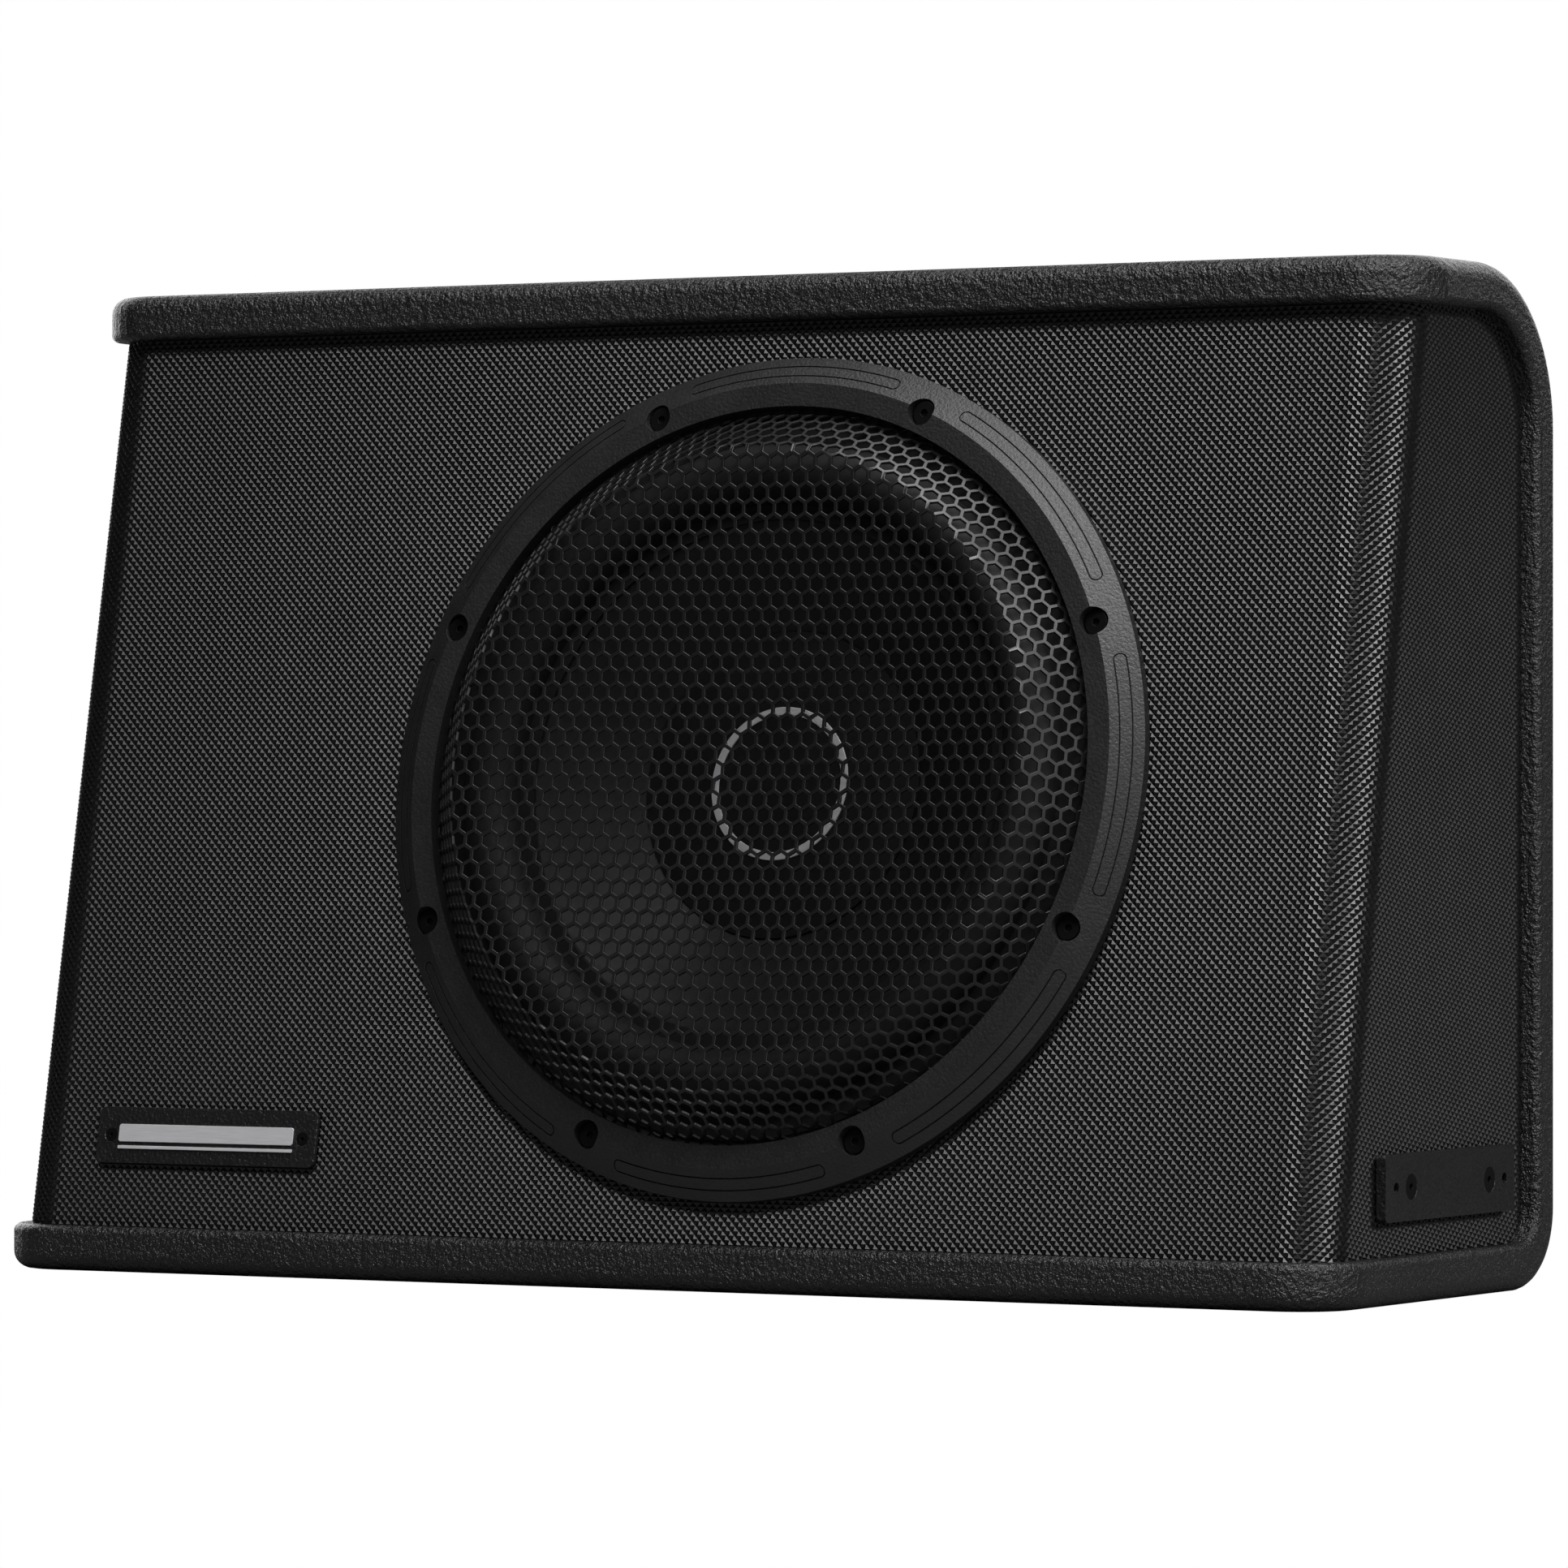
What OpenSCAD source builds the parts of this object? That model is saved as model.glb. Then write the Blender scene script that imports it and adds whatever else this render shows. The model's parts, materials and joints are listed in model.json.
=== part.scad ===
// Powered car subwoofer: a slanted, sealed enclosure with one shallow driver
// behind a mesh grille, and an amplifier let into its left end.
// X runs across the front, Y towards the back and Z up, in millimetres.
// The origin is the middle of the underside.

/* [Enclosure] */
// Width of the enclosure over the ends of its top and bottom panels
box_w = 596; // [594:1:600]
// Height of the enclosure
box_h = 390; // [388:1:394]
// Depth of the bottom panel
base_depth = 196; // [195:1:198]
// Depth of the top panel
top_depth = 127; // [125:1:129]
// Thickness of every wooden panel
panel_t = 18; // [17.5:0.5:18]
// Outer radius of the bend between the top and the back
rear_top_r = 62; // [58:1:64]
// Outer radius of the bend between the bottom and the back
rear_bottom_r = 31; // [29:1:34]
// Plan radius of the front corners of the top and bottom panels
plan_corner_r = 28; // [24:1:32]
// Distance the baffle's face stands back from the panels' front edges
front_setback = 6; // [6:0.5:7]
// Distance the wrapped ends stand back from the panels' ends
end_setback = 7; // [7:0.5:7.5]
// Radius of the wrapped body's front corners
body_corner_r = 22; // [20:1:24]
// Thickness of the vinyl wrap
wrap_t = 1; // [0.8:0.1:1.2]
// Thickness of the panel between the amplifier bay and the driver's chamber
divider_t = 12; // [10:1:15]

/* [Driver] */
// Distance of the driver's axis to the right of the middle
driver_x = 37; // [34:1:40]
// Radius of the baffle's cut-out
cutout_r = 141; // [140.5:0.5:141.5]
// Pitch circle diameter of the driver's screws
screw_pcd = 304; // [303:1:305]
// Number of driver screws and of grille ring bays
screw_count = 8; // [8]
// Outer radius of the cone
cone_r = 106.5; // [105:0.5:107]
// Outer radius of the dust cap
dust_cap_r = 60; // [56:1:62]
// Inner radius of the voice coil former
coil_r = 32; // [31.8:0.1:32.1]

/* [Grille] */
// Outer radius of the grille ring
ring_r = 164.3; // [163.5:0.1:166]
// Radius of the opening in the grille ring
ring_bore_r = 143.75; // [143.5:0.05:144]
// Height of the grille ring over the baffle
ring_h = 10.7; // [10:0.1:11.5]
// Radius of the mesh's fold
mesh_fold_r = 124.5; // [123:0.5:128]
// Height of the mesh's fold over the baffle
mesh_fold_h = 28; // [26:0.5:29]
// Height of the mesh's middle over the baffle
mesh_middle_h = 15.3; // [14:0.1:18]

/* [Amplifier] */
// Width of the amplifier's panel
amp_w = 76; // [74:1:76]
// Height of the amplifier's panel
amp_h = 256; // [252:2:256]
// Height of the middle of the amplifier's panel
amp_z = 192; // [188:1:194]
// Place of the amplifier's panel from front to back
amp_y = 30; // [29:1:32]
// Depth of the connector tray
tray_depth = 29; // [26:1:30]
// Number of heatsink fins
fin_count = 7; // [5:1:7]
// Distance between the control knobs
knob_pitch = 18; // [17:1:18]

/* [Mounting plates and badge] */
// Distance between the tapped holes in a mounting plate
plate_hole_pitch = 94; // [92:1:96]
// Radius of the tapped holes in a mounting plate
plate_hole_r = 2.1; // [2:0.1:2.6]
// Length of a mounting plate
plate_l = 112; // [110:1:114]
// Height of the middle of a mounting plate
plate_z = 43.5; // [42:0.5:45]
// Length of the badge plate
badge_l = 103; // [100:1:104]
// Distance of the badge's middle to the left of the middle
badge_x = 200.5; // [198:0.5:202]

/* [Hidden] */

$fn = 96;
half_w = box_w / 2;
body_x = half_w - end_setback;
back_y = base_depth / 2;
inner_back_y = back_y - panel_t;
top_front_y = back_y - top_depth;
inner_top_z = box_h - panel_t;
tilt = atan((base_depth - top_depth) / (box_h - 2 * panel_t));
baffle_y = (top_front_y - back_y) / 2 + front_setback;
end_panel_x = body_x - wrap_t - panel_t;
corner_x = body_x - body_corner_r;
baffle_back_h = -wrap_t - panel_t;
divider_x = -188;
screw_r = screw_pcd / 2;
bay_angle = 360 / screw_count;

// Heights along the driver's axis, from the wrapped face of the baffle
flange_h = 1;
flange_t = 3;
flange_r = 156;
ring_seat_h = flange_h + flange_t;
sheet_t = 1.2;
cone_neck_h = -24.5;
spider_h = -41;
plate_front_h = -70;
plate_back_h = -78;
magnet_back_h = -102;
yoke_back_h = -110;
coil_gap = 0.6;
former_t = 0.5;
winding_t = 1.7;
head_sink = 0.15;
m5_r = 2.5;
m5_clear_r = 2.75;
t_nut_r = 3.4;
t_nut_top_h = -9;
ring_counterbore_h = 5.2;

// Places on the amplifier's panel, from its middle, and depths behind it
amp_panel_t = 3;
cutout_margin = 8;
tray_top = -32;
tray_bottom = -112;
tray_half_w = 26;
tray_wall = 2;
tray_mid = (tray_top + tray_bottom) / 2;
tray_l = tray_top - tray_bottom;
fins_bottom = 22;
fins_top = 114;
fins_mid = (fins_bottom + fins_top) / 2;
fins_l = fins_top - fins_bottom;
knob_row = 2;
switch_row = -18;
switch_x = 12;
switch_travel = 3;
board_t = 1.6;
wire_sides = 10;
amp_board_z = -22;
control_board_z = -13;
shaft_r = 3;
floor_z = -tray_depth;
socket_row = -44;
fuse_row = -70;
terminal_row = -98;
terminal_pitch = 14;
terminal_bore_r = 3.2;

// Front of the layer that lies h over the baffle's face, at height z
function face_y(z, h) = baffle_y + ((z - box_h / 2) * sin(tilt) - h) / cos(tilt);

// ---- helpers ----

// Stands a flat outline in the Y-Z plane and extrudes it from x0 to x1
module along_x(x0, x1) translate([x0, 0, 0]) rotate([90, 0, 90]) linear_extrude(x1 - x0) children();

// Baffle frame: X across, Y up the slope, Z out of the wrapped face
module on_baffle() translate([0, baffle_y, box_h / 2]) rotate([90 - tilt, 0, 0]) children();

// Driver frame: the baffle frame at the driver's axis
module on_driver() on_baffle() translate([driver_x, 0, 0]) children();

// End frame: Z out of the wrapped end, Y up, X along the end
module on_end(side) translate([side * body_x, 0, 0]) rotate([90, 0, side * 90]) children();

// Amplifier frame: the left end's frame at the middle of the amplifier's panel
module on_amp() translate([-body_x, amp_y, amp_z]) rotate([90, 0, -90]) children();

// What is left outside a round corner, at the corner point of a square outline
module corner_waste(x, y, dx, dy, r) difference() {
    translate([x - (dx > 0 ? r : 0), y - (dy > 0 ? r : 0)]) square(r);
    translate([x - dx * r, y - dy * r]) circle(r);
}

// A rectangle with four round corners
module rounded_rect(w, h, r) {
    square([w - 2 * r, h], center = true);
    square([w, h - 2 * r], center = true);
    for (x = [-1, 1], y = [-1, 1]) translate([x * (w / 2 - r), y * (h / 2 - r)]) circle(r);
}

// The space inside the shell, behind the layer that lies h over the baffle's face
module inner_outline(h) difference() {
    polygon([[face_y(panel_t, h), panel_t], [inner_back_y, panel_t],
        [inner_back_y, inner_top_z], [face_y(inner_top_z, h), inner_top_z]]);
    corner_waste(inner_back_y, inner_top_z, 1, 1, rear_top_r - panel_t);
    corner_waste(inner_back_y, panel_t, 1, -1, rear_bottom_r - panel_t);
}

// Turns a flat outline to lie across the slope, with Y out of the baffle, and runs it up the slope
module along_slope() on_baffle() rotate([90, 0, 0]) linear_extrude(2 * box_h, center = true) children();

// Everything between the top and bottom panels
module between_panels() translate([-half_w, -base_depth, panel_t])
    cube([box_w, 2 * base_depth, inner_top_z - panel_t]);

module ring_of_screws() for (k = [0 : screw_count - 1])
    rotate((k + 0.5) * bay_angle) translate([screw_r, 0, 0]) children();

// A tube from h0 up to h1
module tube(r_in, r_out, h0, h1) translate([0, 0, h0]) difference() {
    cylinder(r = r_out, h = h1 - h0);
    translate([0, 0, -1]) cylinder(r = r_in, h = h1 - h0 + 2);
}

// A cylinder from h0 up to h1
module post(r, h0, h1) translate([0, 0, h0]) cylinder(r = r, h = h1 - h0);

// A box centred in X and Y that stands from h0 up to h1
module slab(w, l, h0, h1) translate([-w / 2, -l / 2, h0]) cube([w, l, h1 - h0]);

// A countersunk screw whose head is just below Z = 0, with a six-sided recess
module countersunk_screw(head_r, shank_r, length) difference() {
    cone_h = head_r - shank_r;
    union() {
        translate([0, 0, -cone_h]) cylinder(r1 = shank_r, r2 = head_r - head_sink, h = cone_h - head_sink);
        post(shank_r, -length, -cone_h);
    }
    translate([0, 0, -0.7 * cone_h]) cylinder(r = head_r / 3.5, h = cone_h, $fn = 6);
}

function unit(v) = v / norm(v);

// The way a route runs at its point i, halfway between its two stretches
function heading(route, i) = let (last = len(route) - 1)
    unit(i == 0 ? route[1] - route[0]
        : i == last ? route[last] - route[last - 1]
        : unit(route[i + 1] - route[i]) + unit(route[i] - route[i - 1]));

// The corners of a wire's cross-section at its point i
function wire_section(route, i, r) = let (
        ahead = heading(route, i),
        side = unit(cross(ahead, [0.1, 0.2, 1])),
        up = cross(side, ahead),
        step = 360 / wire_sides)
    [for (k = [0 : wire_sides - 1]) route[i] + r * (side * cos(k * step) + up * sin(k * step))];

// A wire of radius r along a route of points
module wire(route, r) {
    rings = len(route);
    last = (rings - 1) * wire_sides;
    polyhedron(
        [for (i = [0 : rings - 1]) each wire_section(route, i, r)],
        concat(
            [[for (k = [wire_sides - 1 : -1 : 0]) k]],
            [[for (k = [0 : wire_sides - 1]) last + k]],
            [for (i = [0 : rings - 2], k = [0 : wire_sides - 1])
                let (here = i * wire_sides, next = (k + 1) % wire_sides)
                [here + k, here + next, here + wire_sides + next, here + wire_sides + k]]));
}

// ---- enclosure ----

shell_color = [0.07, 0.07, 0.07];
wood_color = [0.62, 0.49, 0.34];

module front_corners(front_y) for (side = [-1, 1])
    corner_waste(side * half_w, front_y, side, -1, plan_corner_r);

module bottom_panel() color(shell_color) linear_extrude(panel_t) difference() {
    translate([-half_w, -back_y]) square([box_w, base_depth - rear_bottom_r]);
    front_corners(-back_y);
}

module top_panel() color(shell_color) translate([0, 0, inner_top_z]) linear_extrude(panel_t) difference() {
    translate([-half_w, top_front_y]) square([box_w, top_depth - rear_top_r]);
    front_corners(top_front_y);
}

// A quarter bend of the panel about the point y, z
module bend(y, z, r, up) intersection() {
    translate([y, z]) difference() {
        circle(r);
        circle(r - panel_t);
    }
    translate([y, up ? z : z - r]) square(r);
}

module back_panel() color(shell_color) along_x(-half_w, half_w) {
    translate([inner_back_y, rear_bottom_r]) square([panel_t, box_h - rear_top_r - rear_bottom_r]);
    bend(back_y - rear_top_r, box_h - rear_top_r, rear_top_r, true);
    bend(back_y - rear_bottom_r, rear_bottom_r, rear_bottom_r, false);
}

module badge_pilots() translate([-badge_x, badge_v, 0]) for (x = [-1, 1])
    translate([x * badge_screw_pitch / 2, 0, 0]) post(badge_screw_r, -badge_screw_l, 1);

module front_baffle() color(wood_color) difference() {
    intersection() {
        on_baffle() slab(2 * corner_x, 2 * box_h, baffle_back_h, -wrap_t);
        between_panels();
    }
    on_driver() {
        post(cutout_r, baffle_back_h - 1, 1);
        ring_of_screws() {
            post(m5_clear_r, baffle_back_h - 1, 1);
            post(t_nut_r, baffle_back_h - 1, t_nut_top_h);
        }
    }
    on_baffle() badge_pilots();
}

// A quarter round of the body's front corner, between two radii
module body_corner(side, r_in, r_out) intersection() {
    along_slope() intersection() {
        translate([side * corner_x, -body_corner_r]) difference() {
            circle(r_out);
            circle(r_in);
        }
        translate([side > 0 ? corner_x : -body_x, -body_corner_r]) square(body_corner_r);
    }
    between_panels();
}

module corner_posts() color(wood_color) for (side = [-1, 1])
    body_corner(side, 0, body_corner_r - wrap_t);

module mount_plate_holes(side) on_plate(side) for (x = [-1, 1]) {
    translate([x * plate_hole_pitch / 2, 0, 0]) post(plate_relief_r, -plate_relief_depth, 1);
    translate([x * plate_screw_pitch / 2, 0, 0]) post(plate_screw_r, plate_t - plate_screw_l, 1);
}

module amp_opening() on_amp()
    slab(amp_w - 2 * cutout_margin, amp_h - 2.5 * cutout_margin, -panel_t - 2 * wrap_t, 1);

module amp_screw_places() for (x = [-1, 1], i = [-3 : 2 : 3])
    translate([x * (amp_w - cutout_margin) / 2, i * (amp_h - 10) / 6, 0]) children();

module end_panel(side) difference() {
    along_x(side > 0 ? end_panel_x : -end_panel_x - panel_t,
        side > 0 ? end_panel_x + panel_t : -end_panel_x) inner_outline(-body_corner_r);
    mount_plate_holes(side);
}

module left_end_panel() color(wood_color) difference() {
    end_panel(-1);
    amp_opening();
    on_amp() amp_screw_places() post(amp_screw_r, -amp_screw_l, 1);
}

module right_end_panel() color(wood_color) end_panel(1);

module divider_panel() color(wood_color) difference() {
    along_x(divider_x, divider_x + divider_t) inner_outline(baffle_back_h);
    translate([divider_x - 1, wire_y, wire_z]) rotate([0, 90, 0]) cylinder(r = wire_hole_r, h = divider_t + 2);
}

module vinyl_wrap() color([0.05, 0.05, 0.055]) difference() {
    union() {
        intersection() {
            on_baffle() slab(2 * corner_x, 2 * box_h, -wrap_t, 0);
            between_panels();
        }
        for (side = [-1, 1]) {
            body_corner(side, body_corner_r - wrap_t, body_corner_r);
            along_x(side > 0 ? body_x - wrap_t : -body_x, side > 0 ? body_x : wrap_t - body_x)
                inner_outline(-body_corner_r);
        }
    }
    on_driver() {
        post(cutout_r, -2 * wrap_t, 1);
        ring_of_screws() post(m5_clear_r, -2 * wrap_t, 1);
    }
    on_baffle() badge_pilots();
    for (side = [-1, 1]) mount_plate_holes(side);
    amp_opening();
    on_amp() amp_screw_places() post(amp_screw_r, -amp_screw_l, 1);
}

pad_margin = 18;
pad_t = 10;
module damping_pad() color([0.85, 0.84, 0.8])
    translate([divider_x + divider_t, inner_back_y - pad_t, 2 * pad_margin])
        cube([end_panel_x - divider_x - divider_t - 1, pad_t, box_h - rear_top_r - 2 * pad_margin]);

// ---- badge ----

badge_v = -144;
badge_w = 22.5;
badge_t = 2;
badge_corner_r = 3;
badge_screw_pitch = 90;
badge_screw_r = 1.4;
badge_head_r = 2.9;
badge_screw_l = 12;
strip_l = 82;
strip_w = 7;
strip_v = 0.8;
line_w = 1.3;
line_v = -4.9;
strip_t = 0.6;

module on_badge() on_baffle() translate([-badge_x, badge_v, 0]) children();
module badge_screw_places() for (x = [-1, 1]) translate([x * badge_screw_pitch / 2, 0, badge_t]) children();

module badge_plate() color([0.1, 0.1, 0.1]) on_badge() difference() {
    linear_extrude(badge_t) rounded_rect(badge_l, badge_w, badge_corner_r);
    badge_screw_places() {
        translate([0, 0, badge_screw_r - badge_head_r])
            cylinder(r1 = badge_screw_r, r2 = badge_head_r, h = badge_head_r - badge_screw_r);
        post(badge_screw_r, -2 * badge_t, 0);
    }
}

// A plain bar with a thin line under it
module badge_strip() color([0.8, 0.8, 0.82]) on_badge() translate([0, 0, badge_t]) linear_extrude(strip_t) {
    translate([0, strip_v]) rounded_rect(strip_l, strip_w, 1);
    translate([0, line_v]) square([strip_l, line_w], center = true);
}

module badge_screws() color([0.12, 0.12, 0.12]) on_badge() badge_screw_places()
    countersunk_screw(badge_head_r, badge_screw_r, badge_screw_l);

// ---- mounting plates ----

plate_t = 4;
plate_w = 25;
plate_y = 8;
plate_corner_r = 1.5;
plate_relief_r = 3;
plate_relief_depth = 14;
plate_screw_pitch = 68;
plate_screw_r = 2.1;
plate_head_r = 5;
plate_screw_l = 20;

module on_plate(side) on_end(side) translate([side * plate_y, plate_z, 0]) children();

module mount_plate(side) color([0.12, 0.12, 0.12]) on_plate(side) difference() {
    linear_extrude(plate_t) rounded_rect(plate_l, plate_w, plate_corner_r);
    for (x = [-1, 1]) {
        translate([x * plate_hole_pitch / 2, 0, 0]) post(plate_hole_r, -1, plate_t + 1);
        translate([x * plate_screw_pitch / 2, 0, 0]) {
            translate([0, 0, plate_t - plate_head_r + plate_screw_r])
                cylinder(r1 = plate_screw_r, r2 = plate_head_r, h = plate_head_r - plate_screw_r);
            post(plate_screw_r, -1, plate_t);
        }
    }
}

module right_mount_plate() mount_plate(1);
module left_mount_plate() mount_plate(-1);

module mount_plate_screws() color([0.15, 0.15, 0.15]) for (side = [-1, 1], x = [-1, 1])
    on_plate(side) translate([x * plate_screw_pitch / 2, 0, plate_t])
        countersunk_screw(plate_head_r, plate_screw_r, plate_screw_l);

// ---- driver ----

basket_wall_r = 139.5;
basket_wall_h = -12;
ledge_r = 80;
ledge_h = -46;
basket_foot_r = 70;
basket_bore_r = 36;
wall_t = 3;
landing_in_r = 130;
window_in_r = 96;
window_in_w = 48;
window_out_r = 129;
window_out_w = 72;

module driver_gasket() color([0.15, 0.15, 0.15]) on_driver() difference() {
    tube(cutout_r + 0.2, flange_r, 0, flange_h);
    ring_of_screws() post(m5_clear_r, -1, flange_h + 1);
}

// The basket's outer skin in section, closed to the axis
function basket_skin() = [[flange_r, flange_h], [basket_wall_r, flange_h],
    [basket_wall_r, basket_wall_h], [ledge_r + 12, ledge_h + 1.5], [ledge_r, ledge_h],
    [basket_foot_r, plate_front_h + 4], [basket_foot_r, plate_front_h]];

module basket() color([0.2, 0.2, 0.2]) on_driver() difference() {
    rotate_extrude() polygon(concat(basket_skin(), [[basket_bore_r, plate_front_h],
        [basket_bore_r, plate_front_h + 3.5], [basket_foot_r - 3.5, plate_front_h + 3.5],
        [basket_foot_r + 0.5, spider_h - 1], [ledge_r - 1, spider_h - 1], [ledge_r + 11, spider_h + 0.5],
        [basket_wall_r - wall_t, basket_wall_h + 1.5], [basket_wall_r - wall_t, flange_h],
        [landing_in_r, flange_h], [landing_in_r, ring_seat_h], [flange_r, ring_seat_h]]));
    ring_of_screws() post(m5_clear_r, 0, ring_seat_h + 1);
    for (k = [0 : screw_count - 1]) rotate((k + 0.5) * bay_angle) translate([0, 0, ledge_h])
        linear_extrude(basket_wall_h - 2 - ledge_h) polygon([
            [window_in_r, -window_in_w / 2], [window_out_r, -window_out_w / 2],
            [window_out_r, window_out_w / 2], [window_in_r, window_in_w / 2]]);
}

roll_r = 11.4;
roll_mid_r = cone_r + roll_r + 0.1;
landing_h = ring_seat_h;
module surround() color([0.08, 0.08, 0.08]) on_driver() rotate_extrude() {
    intersection() {
        translate([roll_mid_r, landing_h]) difference() {
            circle(roll_r + sheet_t);
            circle(roll_r);
        }
        translate([cone_r - 2, landing_h]) square(4 * roll_r);
    }
    translate([cone_r - 6, landing_h]) square([roll_mid_r - roll_r - cone_r + 6, sheet_t]);
    translate([roll_mid_r + roll_r, landing_h]) square([cutout_r - roll_mid_r - roll_r, sheet_t]);
}

cone_t = 1.2;
neck_r = coil_r + former_t;
module cone() color([0.1, 0.1, 0.1]) on_driver() rotate_extrude() polygon([
    [cone_r, landing_h], [cone_r - 6, landing_h], [neck_r, cone_neck_h], [neck_r, cone_neck_h - 1.4],
    [cone_r - 5.7, landing_h - cone_t], [cone_r, landing_h - cone_t]]);

cone_slope = (landing_h - cone_neck_h) / (cone_r - 6 - neck_r);
cap_edge_h = cone_neck_h + cone_slope * (dust_cap_r - neck_r);
cap_crown = 2;
cap_t = 1;
cap_sphere_r = (dust_cap_r * dust_cap_r + cap_crown * cap_crown) / (2 * cap_crown);
module dust_cap() color([0.09, 0.09, 0.09]) on_driver() translate([0, 0, cap_edge_h + cap_crown - cap_sphere_r])
    rotate_extrude() intersection() {
        difference() {
            circle(cap_sphere_r + cap_t, $fn = 720);
            circle(cap_sphere_r, $fn = 720);
        }
        translate([0, cap_sphere_r - 2 * cap_crown]) square([dust_cap_r - 0.5, 4 * cap_crown]);
    }

cap_ring_r = 30;
cap_ring_w = 3.2;
cap_ring_h = cap_edge_h + cap_crown - cap_sphere_r
    + sqrt(pow(cap_sphere_r + cap_t, 2) - pow(cap_ring_r - cap_ring_w, 2));
module dust_cap_ring() color([0.75, 0.75, 0.77]) on_driver()
    tube(cap_ring_r - cap_ring_w, cap_ring_r, cap_ring_h + 0.01, cap_ring_h + 0.7);

coil_end_h = -85;
module voice_coil_former() color([0.8, 0.7, 0.4]) on_driver() tube(coil_r, neck_r, coil_end_h, cone_neck_h + 2);

winding_l = 22;
module voice_coil_winding() color([0.72, 0.42, 0.2]) on_driver()
    tube(neck_r, neck_r + winding_t, coil_end_h, coil_end_h + winding_l);

// A corrugated disc from the former to the basket's ledge
spider_waves = 4;
spider_steps = 24;
function spider_line(lift) = [for (i = [0 : spider_steps]) let (f = i / spider_steps)
    [neck_r + f * (ledge_r - 2 - neck_r),
        spider_h + lift + 1.6 * sin(360 * spider_waves * f) * min(1, 4 * (1 - f))]];
module spider() color([0.85, 0.7, 0.35]) on_driver() rotate_extrude()
    polygon(concat(spider_line(0.8), [for (i = [spider_steps : -1 : 0]) spider_line(0)[i]]));

gap_r = neck_r + winding_t + coil_gap;
pole_r = coil_r - coil_gap;
plate_r = 62;
magnet_r = 70;
vent_r = 9;
module front_pole_plate() color([0.6, 0.6, 0.62]) on_driver() tube(gap_r, plate_r, plate_back_h, plate_front_h);
module magnet() color([0.25, 0.25, 0.26]) on_driver() tube(gap_r + 7, magnet_r, magnet_back_h, plate_back_h);
module yoke() color([0.6, 0.6, 0.62]) on_driver() difference() {
    union() {
        post(plate_r, yoke_back_h, magnet_back_h);
        post(pole_r, magnet_back_h - 1, plate_front_h + 2);
    }
    post(vent_r, yoke_back_h - 1, plate_front_h + 3);
}

boot_t = 3;
module magnet_boot() color([0.1, 0.1, 0.1]) on_driver() {
    tube(magnet_r, magnet_r + boot_t, magnet_back_h - boot_t, plate_back_h);
    tube(plate_r, magnet_r, magnet_back_h - boot_t, magnet_back_h);
}

terminal_block_w = 30;
tab_w = 6.3;
tab_x = 8;
module driver_terminals() color([0.9, 0.88, 0.8]) on_driver() {
    difference() {
        translate([-112, -terminal_block_w / 2, -56]) cube([24, terminal_block_w, 28]);
        rotate_extrude() polygon(concat(basket_skin(), [[0, plate_front_h], [0, flange_h]]));
    }
    for (y = [-tab_x, tab_x]) translate([-106, y - tab_w / 2, -64]) cube([0.8, tab_w, 8]);
}

module tinsel_leads() color([0.8, 0.6, 0.3]) on_driver() for (y = [-6, 6])
    wire([[-48, y, -21], [-56, y, -27], [-66, y, -31], [-78, y, -33], [-97, y, -33]], 1);

// ---- grille ----

module grille_ring() color([0.08, 0.08, 0.08]) on_driver() difference() {
    rotate_extrude($fn = 180) polygon([[ring_bore_r, rim_top_h], [rim_pocket_r, rim_top_h],
        [rim_pocket_r, ring_seat_h], [ring_skirt_r, ring_seat_h], [ring_skirt_r, 0],
        [ring_r, 0], [ring_r, ring_edge_h], [crease_r, ring_h], [ring_bore_r, ring_h]]);
    ring_of_screws() {
        post(m5_clear_r, 0, ring_h + 1);
        post(counterbore_r, ring_counterbore_h, ring_h + 1);
    }
    for (k = [0 : screw_count - 1]) rotate(k * bay_angle) ring_groove();
}

ring_edge_h = 3.9;
crease_r = 152.8;
ring_skirt_r = flange_r + 2.5;
counterbore_r = 5.5;
// The groove under the ring's inner edge that holds the mesh's rim
rim_top_h = ring_seat_h + 1.2;
rim_pocket_r = ring_bore_r + 2.45;
ring_slope = atan((ring_h - ring_edge_h) / (ring_r - crease_r));
groove_r = 158.25;
pad_half_w = 2.1;
pad_half_angle = 16.1;
groove_w = 0.5;
groove_depth = 0.8;
// A fine groove round a long curved pad on the ring's sloping face
module ring_groove() difference() {
    ring_pad(pad_half_w + groove_w / 2, groove_depth);
    ring_pad(pad_half_w - groove_w / 2, 2 * groove_depth);
}

// A curved bar with round ends that reaches a depth below the sloping face and as far above it
module ring_pad(half_w, depth) {
    face_h = ring_edge_h + (ring_r - groove_r) * tan(ring_slope);
    rotate(-pad_half_angle) rotate_extrude(angle = 2 * pad_half_angle)
        translate([groove_r, face_h]) rotate(-ring_slope) translate([-half_w, -depth])
            square([2 * half_w, 2 * depth]);
    for (side = [-1, 1]) rotate(side * pad_half_angle) translate([groove_r, 0, face_h])
        rotate([0, ring_slope, 0]) post(half_w, -depth, depth);
}

mesh_foot_r = ring_bore_r - 0.35;
mesh_rim_r = ring_bore_r + 2.25;
module grille_mesh() color([0.06, 0.06, 0.06]) on_driver() rotate_extrude($fn = 180) polygon([
    [mesh_rim_r, ring_seat_h], [mesh_rim_r, ring_seat_h + 1.1], [mesh_foot_r, ring_seat_h + 1.1],
    [mesh_fold_r, mesh_fold_h], [0, mesh_middle_h], [0, mesh_middle_h - sheet_t],
    [mesh_fold_r - 0.5, mesh_fold_h - sheet_t - 0.5], [mesh_foot_r - 1.3, ring_seat_h]]);

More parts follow.
